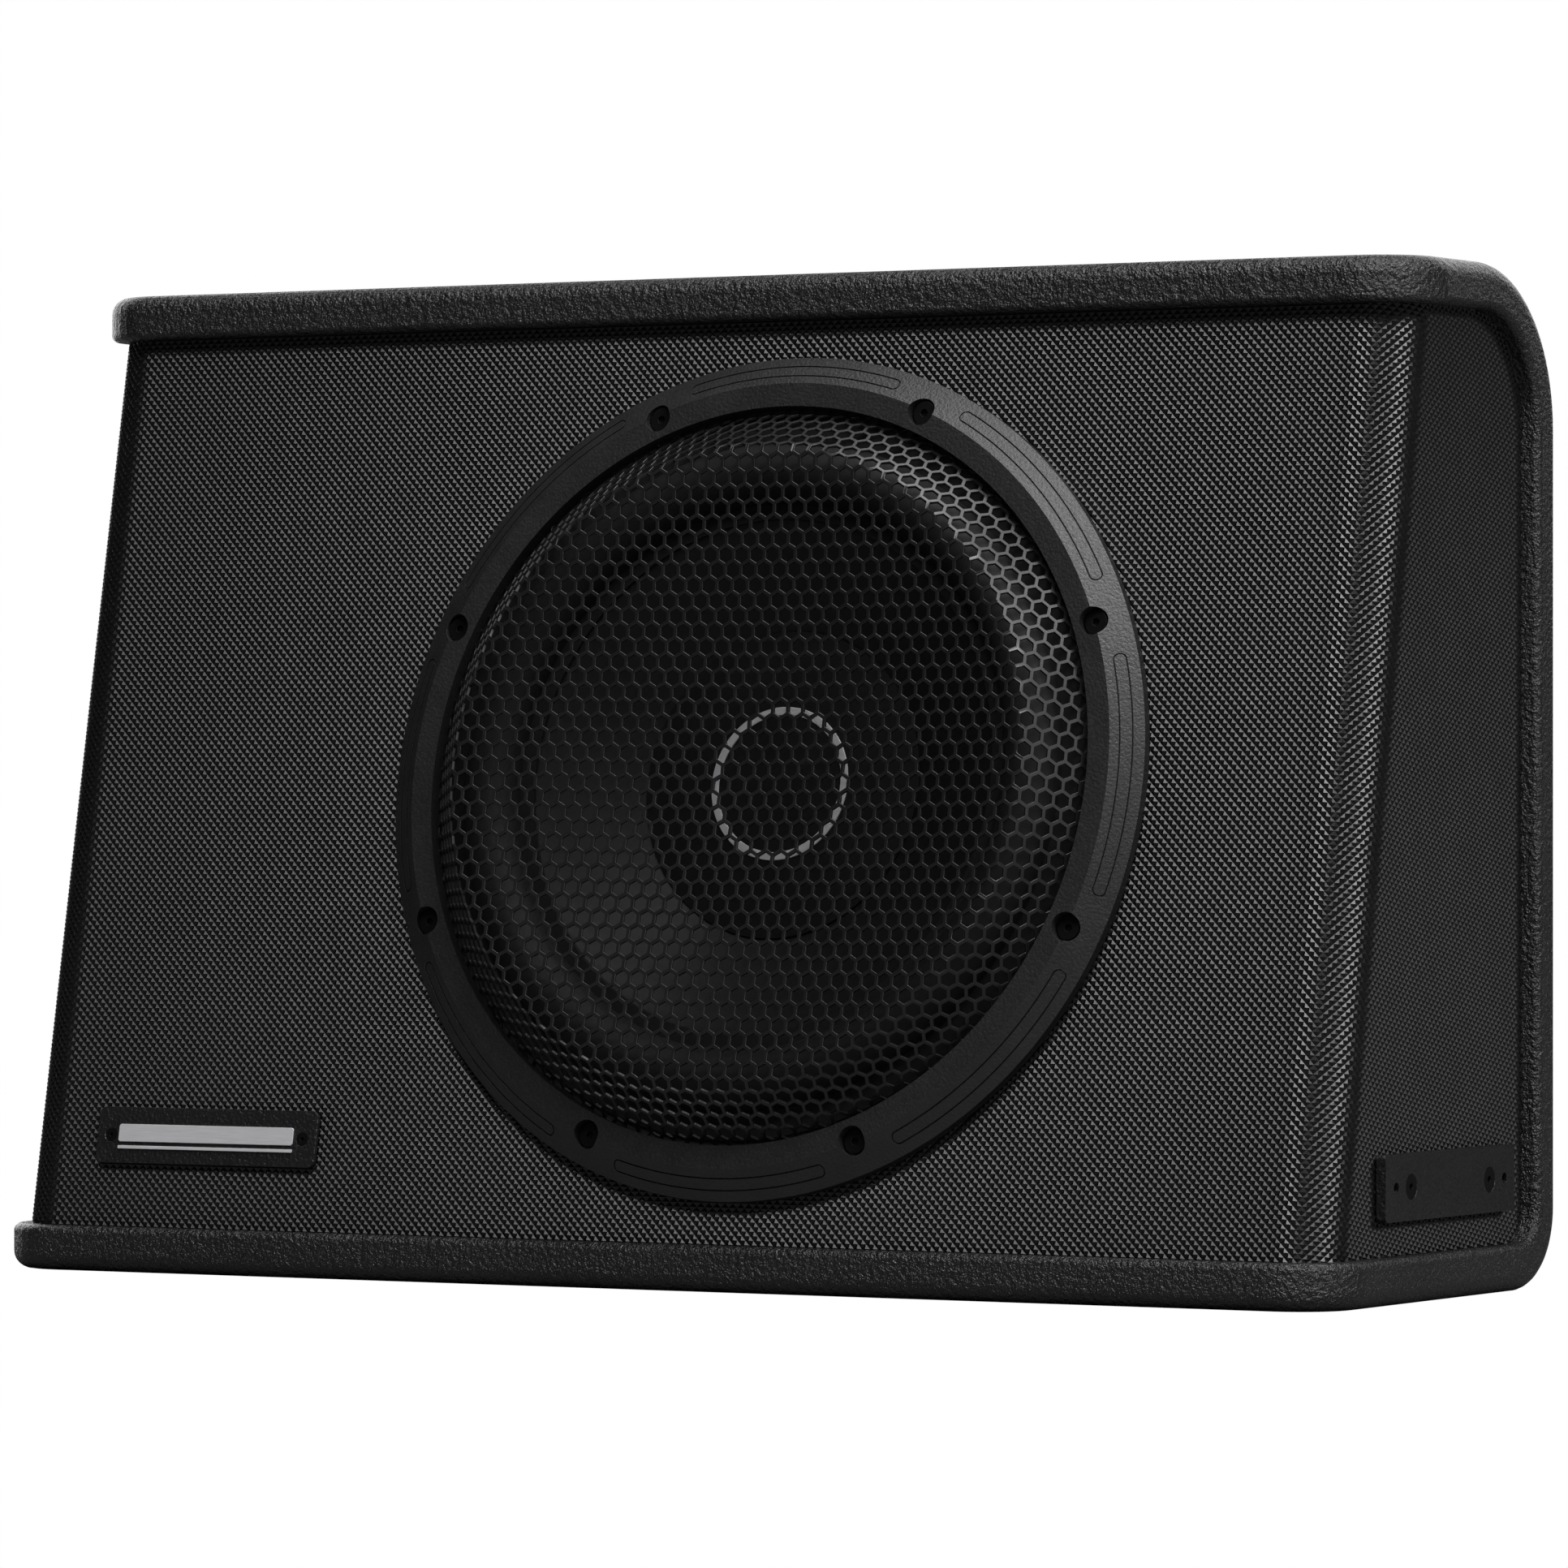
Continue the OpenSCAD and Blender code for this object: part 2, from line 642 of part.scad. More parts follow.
head_r = 4.6;
head_h = 2.4;
ring_screw_end_h = -18;
module ring_screws() color([0.2, 0.2, 0.2]) on_driver() ring_of_screws() difference() {
    union() {
        post(head_r, ring_counterbore_h, ring_counterbore_h + head_h);
        post(m5_r, ring_screw_end_h, ring_counterbore_h);
    }
    translate([0, 0, ring_counterbore_h + 1]) cylinder(r = 1.6, h = head_h, $fn = 6);
}

module ring_t_nuts() color([0.65, 0.66, 0.68]) on_driver() ring_of_screws() difference() {
    union() {
        post(t_nut_r, baffle_back_h, t_nut_top_h);
        post(2.2 * t_nut_r, baffle_back_h - 1.2, baffle_back_h);
    }
    post(m5_r, baffle_back_h - 2, t_nut_top_h + 1);
}

// ---- amplifier ----

amp_screw_r = 1.9;
amp_screw_l = 16;
amp_head_r = 3.2;
knob_hole_r = 3.5;
control_color = [0.1, 0.1, 0.1];
board_color = [0.08, 0.3, 0.15];

module amp_panel() color([0.13, 0.13, 0.13]) on_amp() difference() {
    linear_extrude(amp_panel_t) rounded_rect(amp_w, amp_h, 5);
    translate([0, fins_mid, 0]) slab(2 * tray_half_w, fins_l, -1, amp_panel_t + 1);
    translate([0, tray_mid, 0]) slab(2 * tray_half_w, tray_l, -1, amp_panel_t + 1);
    for (i = [-1 : 1]) translate([i * knob_pitch, knob_row, 0]) post(knob_hole_r, -1, amp_panel_t + 1);
    for (x = [-1, 1]) translate([x * switch_x, switch_row, 0]) slab(3.6, 8, -1, amp_panel_t + 1);
    amp_screw_places() post(amp_screw_r, -1, amp_panel_t + 1);
}

module amp_panel_screws() color([0.2, 0.2, 0.2]) on_amp() amp_screw_places() difference() {
    union() {
        post(amp_head_r, amp_panel_t, amp_panel_t + 2);
        post(amp_screw_r, -amp_screw_l, amp_panel_t);
    }
    translate([0, 0, amp_panel_t + 0.9]) for (a = [0, 90]) rotate(a) slab(3.6, 0.9, 0, 2);
}

fin_h = 6.5;
fin_t = 2;
heatsink_t = 5;
fin_pitch = (2 * tray_half_w - 7) / (fin_count - 1);
board_w = 2 * tray_half_w + 4;
module heatsink() color([0.35, 0.35, 0.36]) on_amp() translate([0, fins_mid, 0]) {
    slab(board_w, fins_l + 4, -heatsink_t, 0);
    for (i = [0 : fin_count - 1]) translate([(i - (fin_count - 1) / 2) * fin_pitch, 0, 0])
        slab(fin_t, fins_l - 2, -1, fin_h);
}

module amp_board() color(board_color) on_amp() translate([0, fins_mid, 0])
    slab(board_w, fins_l + 4, amp_board_z, amp_board_z + board_t);

module control_board() color(board_color) on_amp() translate([0, -6, 0])
    slab(board_w, 44, control_board_z, control_board_z + board_t);

module capacitors() color([0.15, 0.2, 0.45]) on_amp() for (x = [-1, 1], y = [0, 1])
    translate([x * 15, fins_top - 10 - 20 * y, 0]) post(8, amp_board_z - 28, amp_board_z);

toroid_h = 7;
module toroid(r, thickness) rotate_extrude() translate([r, 0]) circle(thickness);

module power_transformer() color([0.7, 0.45, 0.2]) on_amp()
    translate([-8, fins_bottom + 32, amp_board_z - toroid_h]) toroid(12, toroid_h);

module output_inductors() color([0.72, 0.5, 0.22]) on_amp() for (y = [fins_bottom + 14, fins_bottom + 38])
    translate([20, y, amp_board_z - 4]) toroid(4.8, 3.9);

module power_transistors() color([0.12, 0.12, 0.12]) on_amp()
    for (x = [-18, -6, 6, 18], y = [fins_bottom + 20, fins_top - 24]) translate([x, y, 0]) {
        slab(10, 15, -heatsink_t - 4.5, -heatsink_t);
        for (leg = [-2.5, 0, 2.5]) translate([leg, -6.8, 0])
            slab(0.9, 0.7, amp_board_z + board_t, -heatsink_t - 4.5);
    }

module connector_tray() color([0.1, 0.1, 0.1]) on_amp() translate([0, tray_mid, 0]) difference() {
    slab(2 * (tray_half_w + tray_wall), tray_l + 2 * tray_wall, floor_z - tray_wall, 0);
    slab(2 * tray_half_w, tray_l, floor_z, 1);
}

block_h = 14;
block_w = 18;
block_gap = 0.4;
terminal_depth = 12;
clamp_screw_r = 1.8;
module terminal_places() for (i = [-1 : 1]) translate([i * terminal_pitch, terminal_row, floor_z]) children();
module clamp_axis() translate([0, 0, block_h - 5]) rotate([-90, 0, 0]) children();

// Three clamps side by side
module power_terminal_block() color([0.12, 0.12, 0.12]) on_amp() terminal_places() difference() {
    slab(terminal_pitch - block_gap, block_w, 0, block_h);
    post(terminal_bore_r, block_h - terminal_depth, block_h + 1);
    clamp_axis() cylinder(r = clamp_screw_r, h = block_w);
}

module terminal_screws() color([0.75, 0.72, 0.6]) on_amp() terminal_places() clamp_axis() difference() {
    translate([0, 0, terminal_bore_r + 0.3]) cylinder(r = clamp_screw_r, h = block_w / 2 - terminal_bore_r);
    translate([0, 0, block_w / 2 - 1]) cylinder(r = 0.9, h = 2, $fn = 6);
}

holder_h = 10;
fuse_x = -12;
fuse_pitch = 9;
fuse_w = 5;
blade_x = 6.5;
module fuse_places() for (y = [-1, 1])
    translate([fuse_x, fuse_row + y * fuse_pitch / 2, 0]) children();

module fuse_holder() color([0.15, 0.15, 0.15]) on_amp() difference() {
    translate([fuse_x, fuse_row, 0]) slab(24, 20, floor_z, floor_z + holder_h);
    fuse_places() slab(19.2, fuse_w + 0.2, floor_z + holder_h - 2, floor_z + holder_h + 1);
    fuse_places() for (x = [-1, 1]) translate([x * blade_x, 0, 0])
        slab(5.4, 0.9, floor_z + 2, floor_z + holder_h);
}

module fuses() color([0.2, 0.55, 0.25]) on_amp() fuse_places() {
    slab(19, fuse_w, floor_z + holder_h - 2, floor_z + holder_h + 9);
    for (x = [-1, 1]) translate([x * blade_x, 0, 0]) slab(5.2, 0.7, floor_z + 2.5, floor_z + holder_h - 2);
}

jack_r = 4.15;
jack_l = 11;
module rca_jacks() color([0.85, 0.85, 0.87]) on_amp() for (x = [-17, -1]) translate([x, socket_row, floor_z]) {
    post(6, 0, 2);
    tube(3.4, jack_r, 2, jack_l);
    tube(1.65, 2.6, 2, jack_l - 2);
}

module speaker_input_socket() color([0.9, 0.9, 0.86]) on_amp() translate([14, fuse_row, floor_z]) difference() {
    slab(22, 14, 0, 11);
    slab(19, 11, 3, 12);
}

module remote_port() color([0.15, 0.15, 0.16]) on_amp() translate([17, socket_row, floor_z]) difference() {
    slab(15, 13, 0, 12);
    slab(11, 7, 3, 13);
    translate([0, 4.2, 0]) slab(5, 3, 3, 13);
}

pot_w = 12;
pot_top = -1;
module knob_places(i) translate([i * knob_pitch, knob_row, 0]) children();

module pot_bodies() color([0.2, 0.35, 0.55]) on_amp() for (i = [-1 : 1]) knob_places(i) difference() {
    slab(pot_w, pot_w, control_board_z + board_t, pot_top);
    post(shaft_r + 0.05, control_board_z + board_t + 2, pot_top + 1);
}

knob_r = 5.6;
knob_gap = 0.4;
knob_top = 6.6;
module knob(i) color(control_color) on_amp() knob_places(i) difference() {
    union() {
        post(shaft_r, control_board_z + board_t + 2.5, amp_panel_t + 1);
        post(knob_r, amp_panel_t + knob_gap, knob_top);
    }
    translate([0, knob_r / 2 + 0.6, 0]) slab(1, knob_r, knob_top - 0.8, knob_top + 1);
    for (a = [15 : 30 : 345]) rotate(a) translate([knob_r + 0.5, 0, 0]) post(0.9, amp_panel_t, knob_top + 1);
}

module gain_knob() knob(-1);
module crossover_knob() knob(0);
module bass_boost_knob() knob(1);

lever_w = 3;
lever_l = 3.6;
module switch_bodies() color([0.6, 0.6, 0.62]) on_amp() for (x = [-1, 1])
    translate([x * switch_x, switch_row, 0]) difference() {
        slab(8, 14, control_board_z + board_t, pot_top);
        slab(lever_w + 0.6, 8, pot_top - 4, pot_top + 1);
    }

module lever(side) color([0.85, 0.85, 0.85]) on_amp()
    translate([side * switch_x, switch_row - switch_travel / 2, 0]) slab(lever_w, lever_l, pot_top - 3.5, 5.5);

module phase_switch() lever(-1);
module input_switch() lever(1);

// ---- wiring ----

wire_y = 25;
wire_z = 197;
wire_hole_r = 4.6;
wire_r = 1.9;
wire_gap = 2.2;
// The two conductors run from the board, through the divider, to the driver's terminals
module speaker_wires() color([0.6, 0.1, 0.1]) for (side = [-1, 1]) wire([
    [-body_x - amp_board_z, wire_y + 8, wire_z + 22 + side * wire_gap],
    [-250, wire_y + 8, wire_z + 20 + side * wire_gap],
    [-220, wire_y + 2, wire_z + 4 + side * wire_gap],
    [-200, wire_y, wire_z + side * wire_gap],
    [-160, wire_y, wire_z + side * wire_gap],
    [-130, wire_y - 4, wire_z - 4 + side * tab_x],
    [-100, wire_y - 12, wire_z - 12 + side * tab_x],
    [-78, wire_y - 16, wire_z - 14 + side * tab_x]], wire_r);

bottom_panel();
top_panel();
back_panel();
front_baffle();
corner_posts();
left_end_panel();
right_end_panel();
divider_panel();
vinyl_wrap();
damping_pad();
badge_plate();
badge_strip();
badge_screws();
right_mount_plate();
left_mount_plate();
mount_plate_screws();
driver_gasket();
basket();
surround();
cone();
dust_cap();
dust_cap_ring();
voice_coil_former();
voice_coil_winding();
spider();
front_pole_plate();
magnet();
yoke();
magnet_boot();
driver_terminals();
tinsel_leads();
grille_ring();
grille_mesh();
ring_screws();
ring_t_nuts();
amp_panel();
amp_panel_screws();
heatsink();
amp_board();
control_board();
capacitors();
power_transformer();
output_inductors();
power_transistors();
connector_tray();
power_terminal_block();
terminal_screws();
fuse_holder();
fuses();
rca_jacks();
speaker_input_socket();
remote_port();
pot_bodies();
switch_bodies();
gain_knob();
crossover_knob();
bass_boost_knob();
phase_switch();
input_switch();
speaker_wires();
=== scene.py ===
"""Looks of the powered car subwoofer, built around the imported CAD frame. Metres throughout."""
import json
import math
from contextlib import contextmanager

import bmesh
import bpy
import numpy as np
from mathutils import Matrix, Vector


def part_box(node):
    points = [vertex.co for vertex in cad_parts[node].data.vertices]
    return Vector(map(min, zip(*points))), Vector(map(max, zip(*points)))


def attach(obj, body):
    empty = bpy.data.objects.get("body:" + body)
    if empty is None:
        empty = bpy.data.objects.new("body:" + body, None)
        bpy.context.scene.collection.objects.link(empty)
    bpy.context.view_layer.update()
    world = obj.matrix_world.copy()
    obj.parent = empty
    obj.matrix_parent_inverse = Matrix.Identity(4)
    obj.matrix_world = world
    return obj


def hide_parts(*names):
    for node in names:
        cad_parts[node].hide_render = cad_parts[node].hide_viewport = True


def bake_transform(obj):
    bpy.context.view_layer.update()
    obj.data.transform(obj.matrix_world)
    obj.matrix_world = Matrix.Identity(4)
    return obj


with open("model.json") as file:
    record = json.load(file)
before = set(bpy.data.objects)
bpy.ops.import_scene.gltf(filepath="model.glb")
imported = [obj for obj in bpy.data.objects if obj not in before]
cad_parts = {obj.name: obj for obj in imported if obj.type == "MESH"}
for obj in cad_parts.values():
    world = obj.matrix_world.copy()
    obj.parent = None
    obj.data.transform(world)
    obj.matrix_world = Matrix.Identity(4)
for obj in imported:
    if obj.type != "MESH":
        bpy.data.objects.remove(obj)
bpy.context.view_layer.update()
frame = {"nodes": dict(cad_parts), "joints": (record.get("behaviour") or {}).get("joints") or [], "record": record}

MM = 0.001
ROOT = "enclosure"
CONE = "cone_assembly"

# ---- the frame that every piece is placed by ----

RECORD = frame["record"]
SLOT_OF = {part["node"]: part["material_slot"] for part in RECORD["subparts"]}
JOINT = {joint["name"]: joint for joint in frame["joints"]}
NORMAL = Vector(JOINT["cone_travel"]["axis"]).normalized()
TILT = math.atan2(NORMAL.z, -NORMAL.y)
UPHILL = Vector((0, math.sin(TILT), math.cos(TILT)))
SIDEWAYS = Vector((1, 0, 0))

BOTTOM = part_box("bottom_panel")
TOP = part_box("top_panel")
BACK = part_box("back_panel")
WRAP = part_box("vinyl_wrap")
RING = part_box("grille_ring")
PANEL = BOTTOM[1].z
HEIGHT = TOP[1].z
HALF_WIDTH = TOP[1].x
MIDDLE_Z = HEIGHT / 2
FACE = Vector((0, WRAP[0].y + (MIDDLE_Z - PANEL) * math.tan(TILT), MIDDLE_Z))
DRIVER_X = (RING[0].x + RING[1].x) / 2
INNER_BACK = BACK[1].y - PANEL


def on_face(u, v, h):
    """A point u across, v up the slope and h out of the wrapped face."""
    return FACE + SIDEWAYS * u + UPHILL * v + NORMAL * h


def on_driver(x, y, h):
    """The same, counted from the driver's axis."""
    return on_face(DRIVER_X + x, y, h)


DRIVER_TURN = Matrix((SIDEWAYS, UPHILL, NORMAL)).transposed().to_4x4()
DRIVER_MATRIX = Matrix.Translation(on_driver(0, 0, 0)) @ DRIVER_TURN


# ---- materials ----

class Nodes:
    """A material's node tree, with short calls for what the materials here share."""

    def __init__(self, name):
        self.material = bpy.data.materials.new(name)
        self.material.use_nodes = True
        self.tree = self.material.node_tree
        self.shader = self.tree.nodes["Principled BSDF"]
        self.place = self.add("ShaderNodeTexCoord").outputs["Object"]

    def add(self, kind, **settings):
        """A new node. A setting whose name starts with _ is an input, and the others are properties."""
        node = self.tree.nodes.new(kind)
        for key, value in settings.items():
            if key.startswith("_"):
                node.inputs[key[1:].replace("_", " ")].default_value = value
            else:
                setattr(node, key, value)
        return node

    def link(self, out, into):
        self.tree.links.new(out, into)

    def set(self, **values):
        for key, value in values.items():
            self.shader.inputs[key.replace("_", " ")].default_value = value

    def stretched(self, scale):
        """The place on the piece, scaled by a different amount along each axis."""
        mapping = self.add("ShaderNodeMapping")
        mapping.inputs["Scale"].default_value = scale
        self.link(self.place, mapping.inputs["Vector"])
        return mapping.outputs["Vector"]

    def noise(self, size, detail=3.0, rough=0.5, place=None):
        node = self.add("ShaderNodeTexNoise", _Scale=1 / size, _Detail=detail, _Roughness=rough)
        self.link(place or self.place, node.inputs["Vector"])
        return node.outputs["Fac"]

    def cell_edges(self, size):
        """How far each point is from the edges of a net of irregular cells."""
        node = self.add("ShaderNodeTexVoronoi", feature="DISTANCE_TO_EDGE", _Scale=1 / size)
        self.link(self.place, node.inputs["Vector"])
        return node.outputs["Distance"]

    def ramp(self, value, stops):
        node = self.add("ShaderNodeValToRGB")
        ramp = node.color_ramp
        while len(ramp.elements) < len(stops):
            ramp.elements.new(0.5)
        for element, (position, color) in zip(ramp.elements, stops):
            element.position = position
            element.color = (*color, 1)
        self.link(value, node.inputs["Fac"])
        return node.outputs["Color"]

    def spread(self, value, low, high, start=0.0, end=1.0):
        """Maps value from start..end onto low..high."""
        node = self.add("ShaderNodeMapRange", _From_Min=start, _From_Max=end, _To_Min=low, _To_Max=high)
        self.link(value, node.inputs["Value"])
        return node.outputs["Result"]

    def color(self, value, dark, light):
        self.link(self.ramp(value, [(0.3, dark), (0.7, light)]), self.shader.inputs["Base Color"])

    def roughness(self, value, low, high):
        self.link(self.spread(value, low, high, 0.3, 0.7), self.shader.inputs["Roughness"])

    def bumps(self, *layers):
        """Stacks bump layers, each a height value, its depth in metres and its strength."""
        before = None
        for value, depth, strength in layers:
            node = self.add("ShaderNodeBump", _Strength=strength, _Distance=depth)
            self.link(value, node.inputs["Height"])
            if before:
                self.link(before, node.inputs["Normal"])
            before = node.outputs["Normal"]
        self.link(before, self.shader.inputs["Normal"])

    def edge_wear(self, size):
        """A value that is high on the worn convex edges of a piece."""
        geometry = self.add("ShaderNodeNewGeometry")
        return self.spread(geometry.outputs["Pointiness"], 0, 1, 0.5, 0.5 + size)


def shade(color, factor):
    return tuple(min(1.0, c * factor) for c in color)


def textured_coating(n):
    """Sprayed-on coating: wrinkles about two millimetres apart over a fine grain."""
    wrinkles = n.noise(2.0 * MM, 3, 0.6)
    grain = n.noise(0.7 * MM, 2)
    patches = n.noise(60 * MM)
    n.color(patches, (0.009, 0.009, 0.0094), (0.014, 0.014, 0.0145))
    n.roughness(grain, 0.24, 0.34)
    n.set(Specular_IOR_Level=0.9)
    n.bumps((wrinkles, 1.9 * MM, 1.0), (grain, 0.3 * MM, 1.0))


def embossed_vinyl(n):
    """Calendered vinyl: the diamonds are in the mesh, and this adds the skin's pores and sheen."""
    pores = n.noise(0.35 * MM, 2)
    patches = n.noise(45 * MM)
    n.color(patches, (0.003, 0.003, 0.0032), (0.0055, 0.0055, 0.0058))
    n.roughness(n.noise(8 * MM), 0.22, 0.28)
    n.set(Specular_IOR_Level=0.5)
    n.bumps((pores, 0.03 * MM, 0.5))


def fine_plastic(n, base, rough=(0.38, 0.5), grain=0.35, depth=0.05, gloss=0.5):
    """Moulded plastic with a spark-eroded grain and a faint mottle."""
    fine = n.noise(grain * MM, 2)
    n.color(n.noise(12 * MM), shade(base, 0.8), shade(base, 1.2))
    n.roughness(fine, *rough)
    n.set(Specular_IOR_Level=gloss)
    n.bumps((fine, depth * MM, 0.7))


def coated_metal(n, base, rough=(0.3, 0.45), grain=0.5, depth=0.04, gloss=0.5):
    """Powder coat: a soft orange peel over steel, rubbed a little paler on its edges."""
    peel = n.noise(grain * MM, 3)
    worn = n.edge_wear(0.08)
    mix = n.add("ShaderNodeMix", data_type="RGBA")
    n.link(worn, mix.inputs["Factor"])
    paint = n.ramp(n.noise(20 * MM), [(0.3, shade(base, 0.8)), (0.7, shade(base, 1.2))])
    color_a, color_b = mix.inputs[6], mix.inputs[7]
    n.link(paint, color_a)
    color_b.default_value = (*shade(base, 1.9), 1)
    n.link(mix.outputs[2], n.shader.inputs["Base Color"])
    n.roughness(peel, *rough)
    n.set(Specular_IOR_Level=gloss)
    n.bumps((peel, depth * MM, 1.0))


def bare_metal(n, base, rough=(0.22, 0.38), along=(1, 1, 1), grain=0.6):
    """Metal with a drawn or turned grain, stretched along one axis where the piece has one."""
    lines = n.noise(grain * MM, 4, 0.6, n.stretched(along))
    n.color(lines, shade(base, 0.86), shade(base, 1.08))
    n.roughness(lines, *rough)
    n.set(Metallic=1.0)
    n.bumps((lines, 0.015 * MM, 0.5))


def soft_rubber(n, base, rough=(0.5, 0.7)):
    """Rubber or foam, with a pale bloom in patches."""
    bloom = n.noise(15 * MM, 4)
    skin = n.noise(0.6 * MM, 2)
    n.color(bloom, shade(base, 0.8), shade(base, 1.25))
    n.roughness(skin, *rough)
    n.bumps((skin, 0.04 * MM, 0.5))


def cut_board(n, base):
    """Fibreboard: short pale fibres in a brown ground."""
    fibres = n.noise(0.8 * MM, 6, 0.7, n.stretched((1, 1, 3)))
    n.link(n.ramp(fibres, [(0.25, shade(base, 0.6)), (0.5, base), (0.8, shade(base, 1.5))]),
           n.shader.inputs["Base Color"])
    n.roughness(fibres, 0.75, 0.95)
    n.bumps((fibres, 0.15 * MM, 0.8))


def fluffy_wadding(n, base):
    """Loose polyester tufts."""
    tufts = n.noise(9 * MM, 8, 0.75)
    n.color(tufts, shade(base, 0.7), shade(base, 1.15))
    n.roughness(tufts, 0.9, 1.0)
    n.set(Sheen_Weight=0.6)
    n.bumps((tufts, 2.5 * MM, 1.0))


def woven_cloth(n, base):
    """Plain weave: two crossed waves, a thread every 0.8 mm."""
    threads = []
    for direction in ("X", "Z"):
        wave = n.add("ShaderNodeTexWave", bands_direction=direction, _Distortion=0.6,
                     _Scale=1 / (2.5 * MM))
        n.link(n.place, wave.inputs["Vector"])
        threads.append(wave.outputs["Fac"])
    weave = n.add("ShaderNodeMath", operation="MAXIMUM")
    n.link(threads[0], weave.inputs[0])
    n.link(threads[1], weave.inputs[1])
    n.color(weave.outputs[0], shade(base, 0.6), shade(base, 1.15))
    n.roughness(weave.outputs[0], 0.65, 0.85)
    n.bumps((weave.outputs[0], 0.25 * MM, 0.8))


def wound_copper(n, base):
    """Enamelled wire laid side by side."""
    wave = n.add("ShaderNodeTexWave", bands_direction="X", _Scale=1 / (3 * MM), _Distortion=1.2)
    n.link(n.place, wave.inputs["Vector"])
    n.color(wave.outputs["Fac"], shade(base, 0.45), shade(base, 1.1))
    n.roughness(wave.outputs["Fac"], 0.2, 0.35)
    n.set(Metallic=0.85)
    n.bumps((wave.outputs["Fac"], 0.3 * MM, 0.9))


def solder_mask(n, base):
    """Circuit board: copper tracks showing as paler bands through the mask."""
    tracks = n.cell_edges(4 * MM)
    n.link(n.ramp(tracks, [(0.05, shade(base, 2.2)), (0.12, base)]), n.shader.inputs["Base Color"])
    n.roughness(n.noise(3 * MM), 0.22, 0.34)
    n.bumps((tracks, 0.05 * MM, 0.4))


def tinted_clear(n, base):
    """Glossy film or moulding, faintly uneven in its tint."""
    n.color(n.noise(4 * MM), shade(base, 0.8), shade(base, 1.2))
    n.roughness(n.noise(2 * MM), 0.08, 0.2)
    n.set(Coat_Weight=0.6, Coat_Roughness=0.08)
    n.bumps((n.noise(2 * MM), 0.02 * MM, 0.3))


def plated(n, base):
    """Bright plating with fine wear."""
    n.color(n.noise(3 * MM), shade(base, 0.94), base)
    n.roughness(n.noise(1.2 * MM), 0.08, 0.2)
    n.set(Metallic=1.0)
    n.bumps((n.noise(0.8 * MM), 0.01 * MM, 0.4))


def silver_print(n, base):
    """Satin silver print, with a fine brushed grain along it."""
    lines = n.noise(0.5 * MM, 4, 0.6, n.stretched((0.05, 1, 1)))
    n.color(lines, shade(base, 0.9), shade(base, 1.05))
    n.roughness(lines, 0.4, 0.5)
    n.set(Metallic=0.15)
    n.bumps((lines, 0.01 * MM, 0.4))


FINISHES = {
    "textured_coating": textured_coating,
    "embossed_vinyl": embossed_vinyl,
    "fibreboard": lambda n: cut_board(n, (0.36, 0.25, 0.15)),
    "wadding": lambda n: fluffy_wadding(n, (0.75, 0.74, 0.71)),
    "black_plate": lambda n: coated_metal(n, (0.0095, 0.0095, 0.01), (0.3, 0.42), 1.5, 0.8, 0.6),
    "silver_strip": lambda n: silver_print(n, (0.84, 0.84, 0.86)),
    # Screws: near black and darker than the plates. This is partly the screws' own black and partly painted shade,
    # so the heads sunk in their counterbores read as shaded.
    "black_screw": lambda n: coated_metal(n, (0.002, 0.002, 0.002), (0.45, 0.6), 0.3, 0.02, 0.2),
    "foam_gasket": lambda n: soft_rubber(n, (0.02, 0.02, 0.02), (0.8, 0.95)),
    "basket_paint": lambda n: coated_metal(n, (0.02, 0.02, 0.021)),
    "cone_plastic": lambda n: fine_plastic(n, (0.010, 0.010, 0.011), (0.40, 0.5), 0.8, 0.03),
    "surround_foam": lambda n: soft_rubber(n, (0.006, 0.006, 0.0065), (0.6, 0.75)),
    "former_film": lambda n: tinted_clear(n, (0.45, 0.22, 0.04)),
    "copper_wire": lambda n: wound_copper(n, (0.70, 0.32, 0.15)),
    "spider_cloth": lambda n: woven_cloth(n, (0.60, 0.44, 0.18)),
    "zinc_steel": lambda n: bare_metal(n, (0.55, 0.56, 0.58), grain=1.5),
    "ferrite": lambda n: coated_metal(n, (0.05, 0.05, 0.052), (0.55, 0.75), 1.2, 0.1),
    "boot_rubber": lambda n: soft_rubber(n, (0.014, 0.014, 0.014)),
    "terminal_plastic": lambda n: fine_plastic(n, (0.66, 0.63, 0.55)),
    "grille_plastic": lambda n: fine_plastic(n, (0.017, 0.017, 0.018), (0.40, 0.52), 1.1, 0.35, 0.8),
    "mesh_steel": lambda n: coated_metal(n, (0.010, 0.010, 0.011), (0.30, 0.40), 0.6, 0.03, 0.8),
    "anodised_panel": lambda n: fine_plastic(n, (0.030, 0.030, 0.032), (0.36, 0.48), 0.6, 0.12, 0.9),
    "anodised_fins": lambda n: bare_metal(n, (0.15, 0.15, 0.155), (0.28, 0.4), (1, 1, 0.08), 0.8),
    "circuit_board": lambda n: solder_mask(n, (0.01, 0.09, 0.035)),
    "capacitor_sleeve": lambda n: tinted_clear(n, (0.02, 0.035, 0.13)),
    "transistor_epoxy": lambda n: fine_plastic(n, (0.025, 0.025, 0.025), (0.55, 0.7)),
    "black_plastic": lambda n: fine_plastic(n, (0.026, 0.026, 0.027), (0.42, 0.56)),
    "brass_screw": lambda n: bare_metal(n, (0.72, 0.58, 0.30), grain=0.4),
    "fuse_plastic": lambda n: tinted_clear(n, (0.05, 0.42, 0.10)),
    "nickel": lambda n: plated(n, (0.75, 0.74, 0.72)),
    "socket_plastic": lambda n: fine_plastic(n, (0.70, 0.67, 0.60)),
    "knob_plastic": lambda n: soft_rubber(n, (0.07, 0.07, 0.072)),
    "switch_plastic": lambda n: fine_plastic(n, (0.62, 0.62, 0.60)),
    "wire_jacket": lambda n: soft_rubber(n, (0.42, 0.02, 0.02), (0.35, 0.5)),
}
MATERIALS = {}


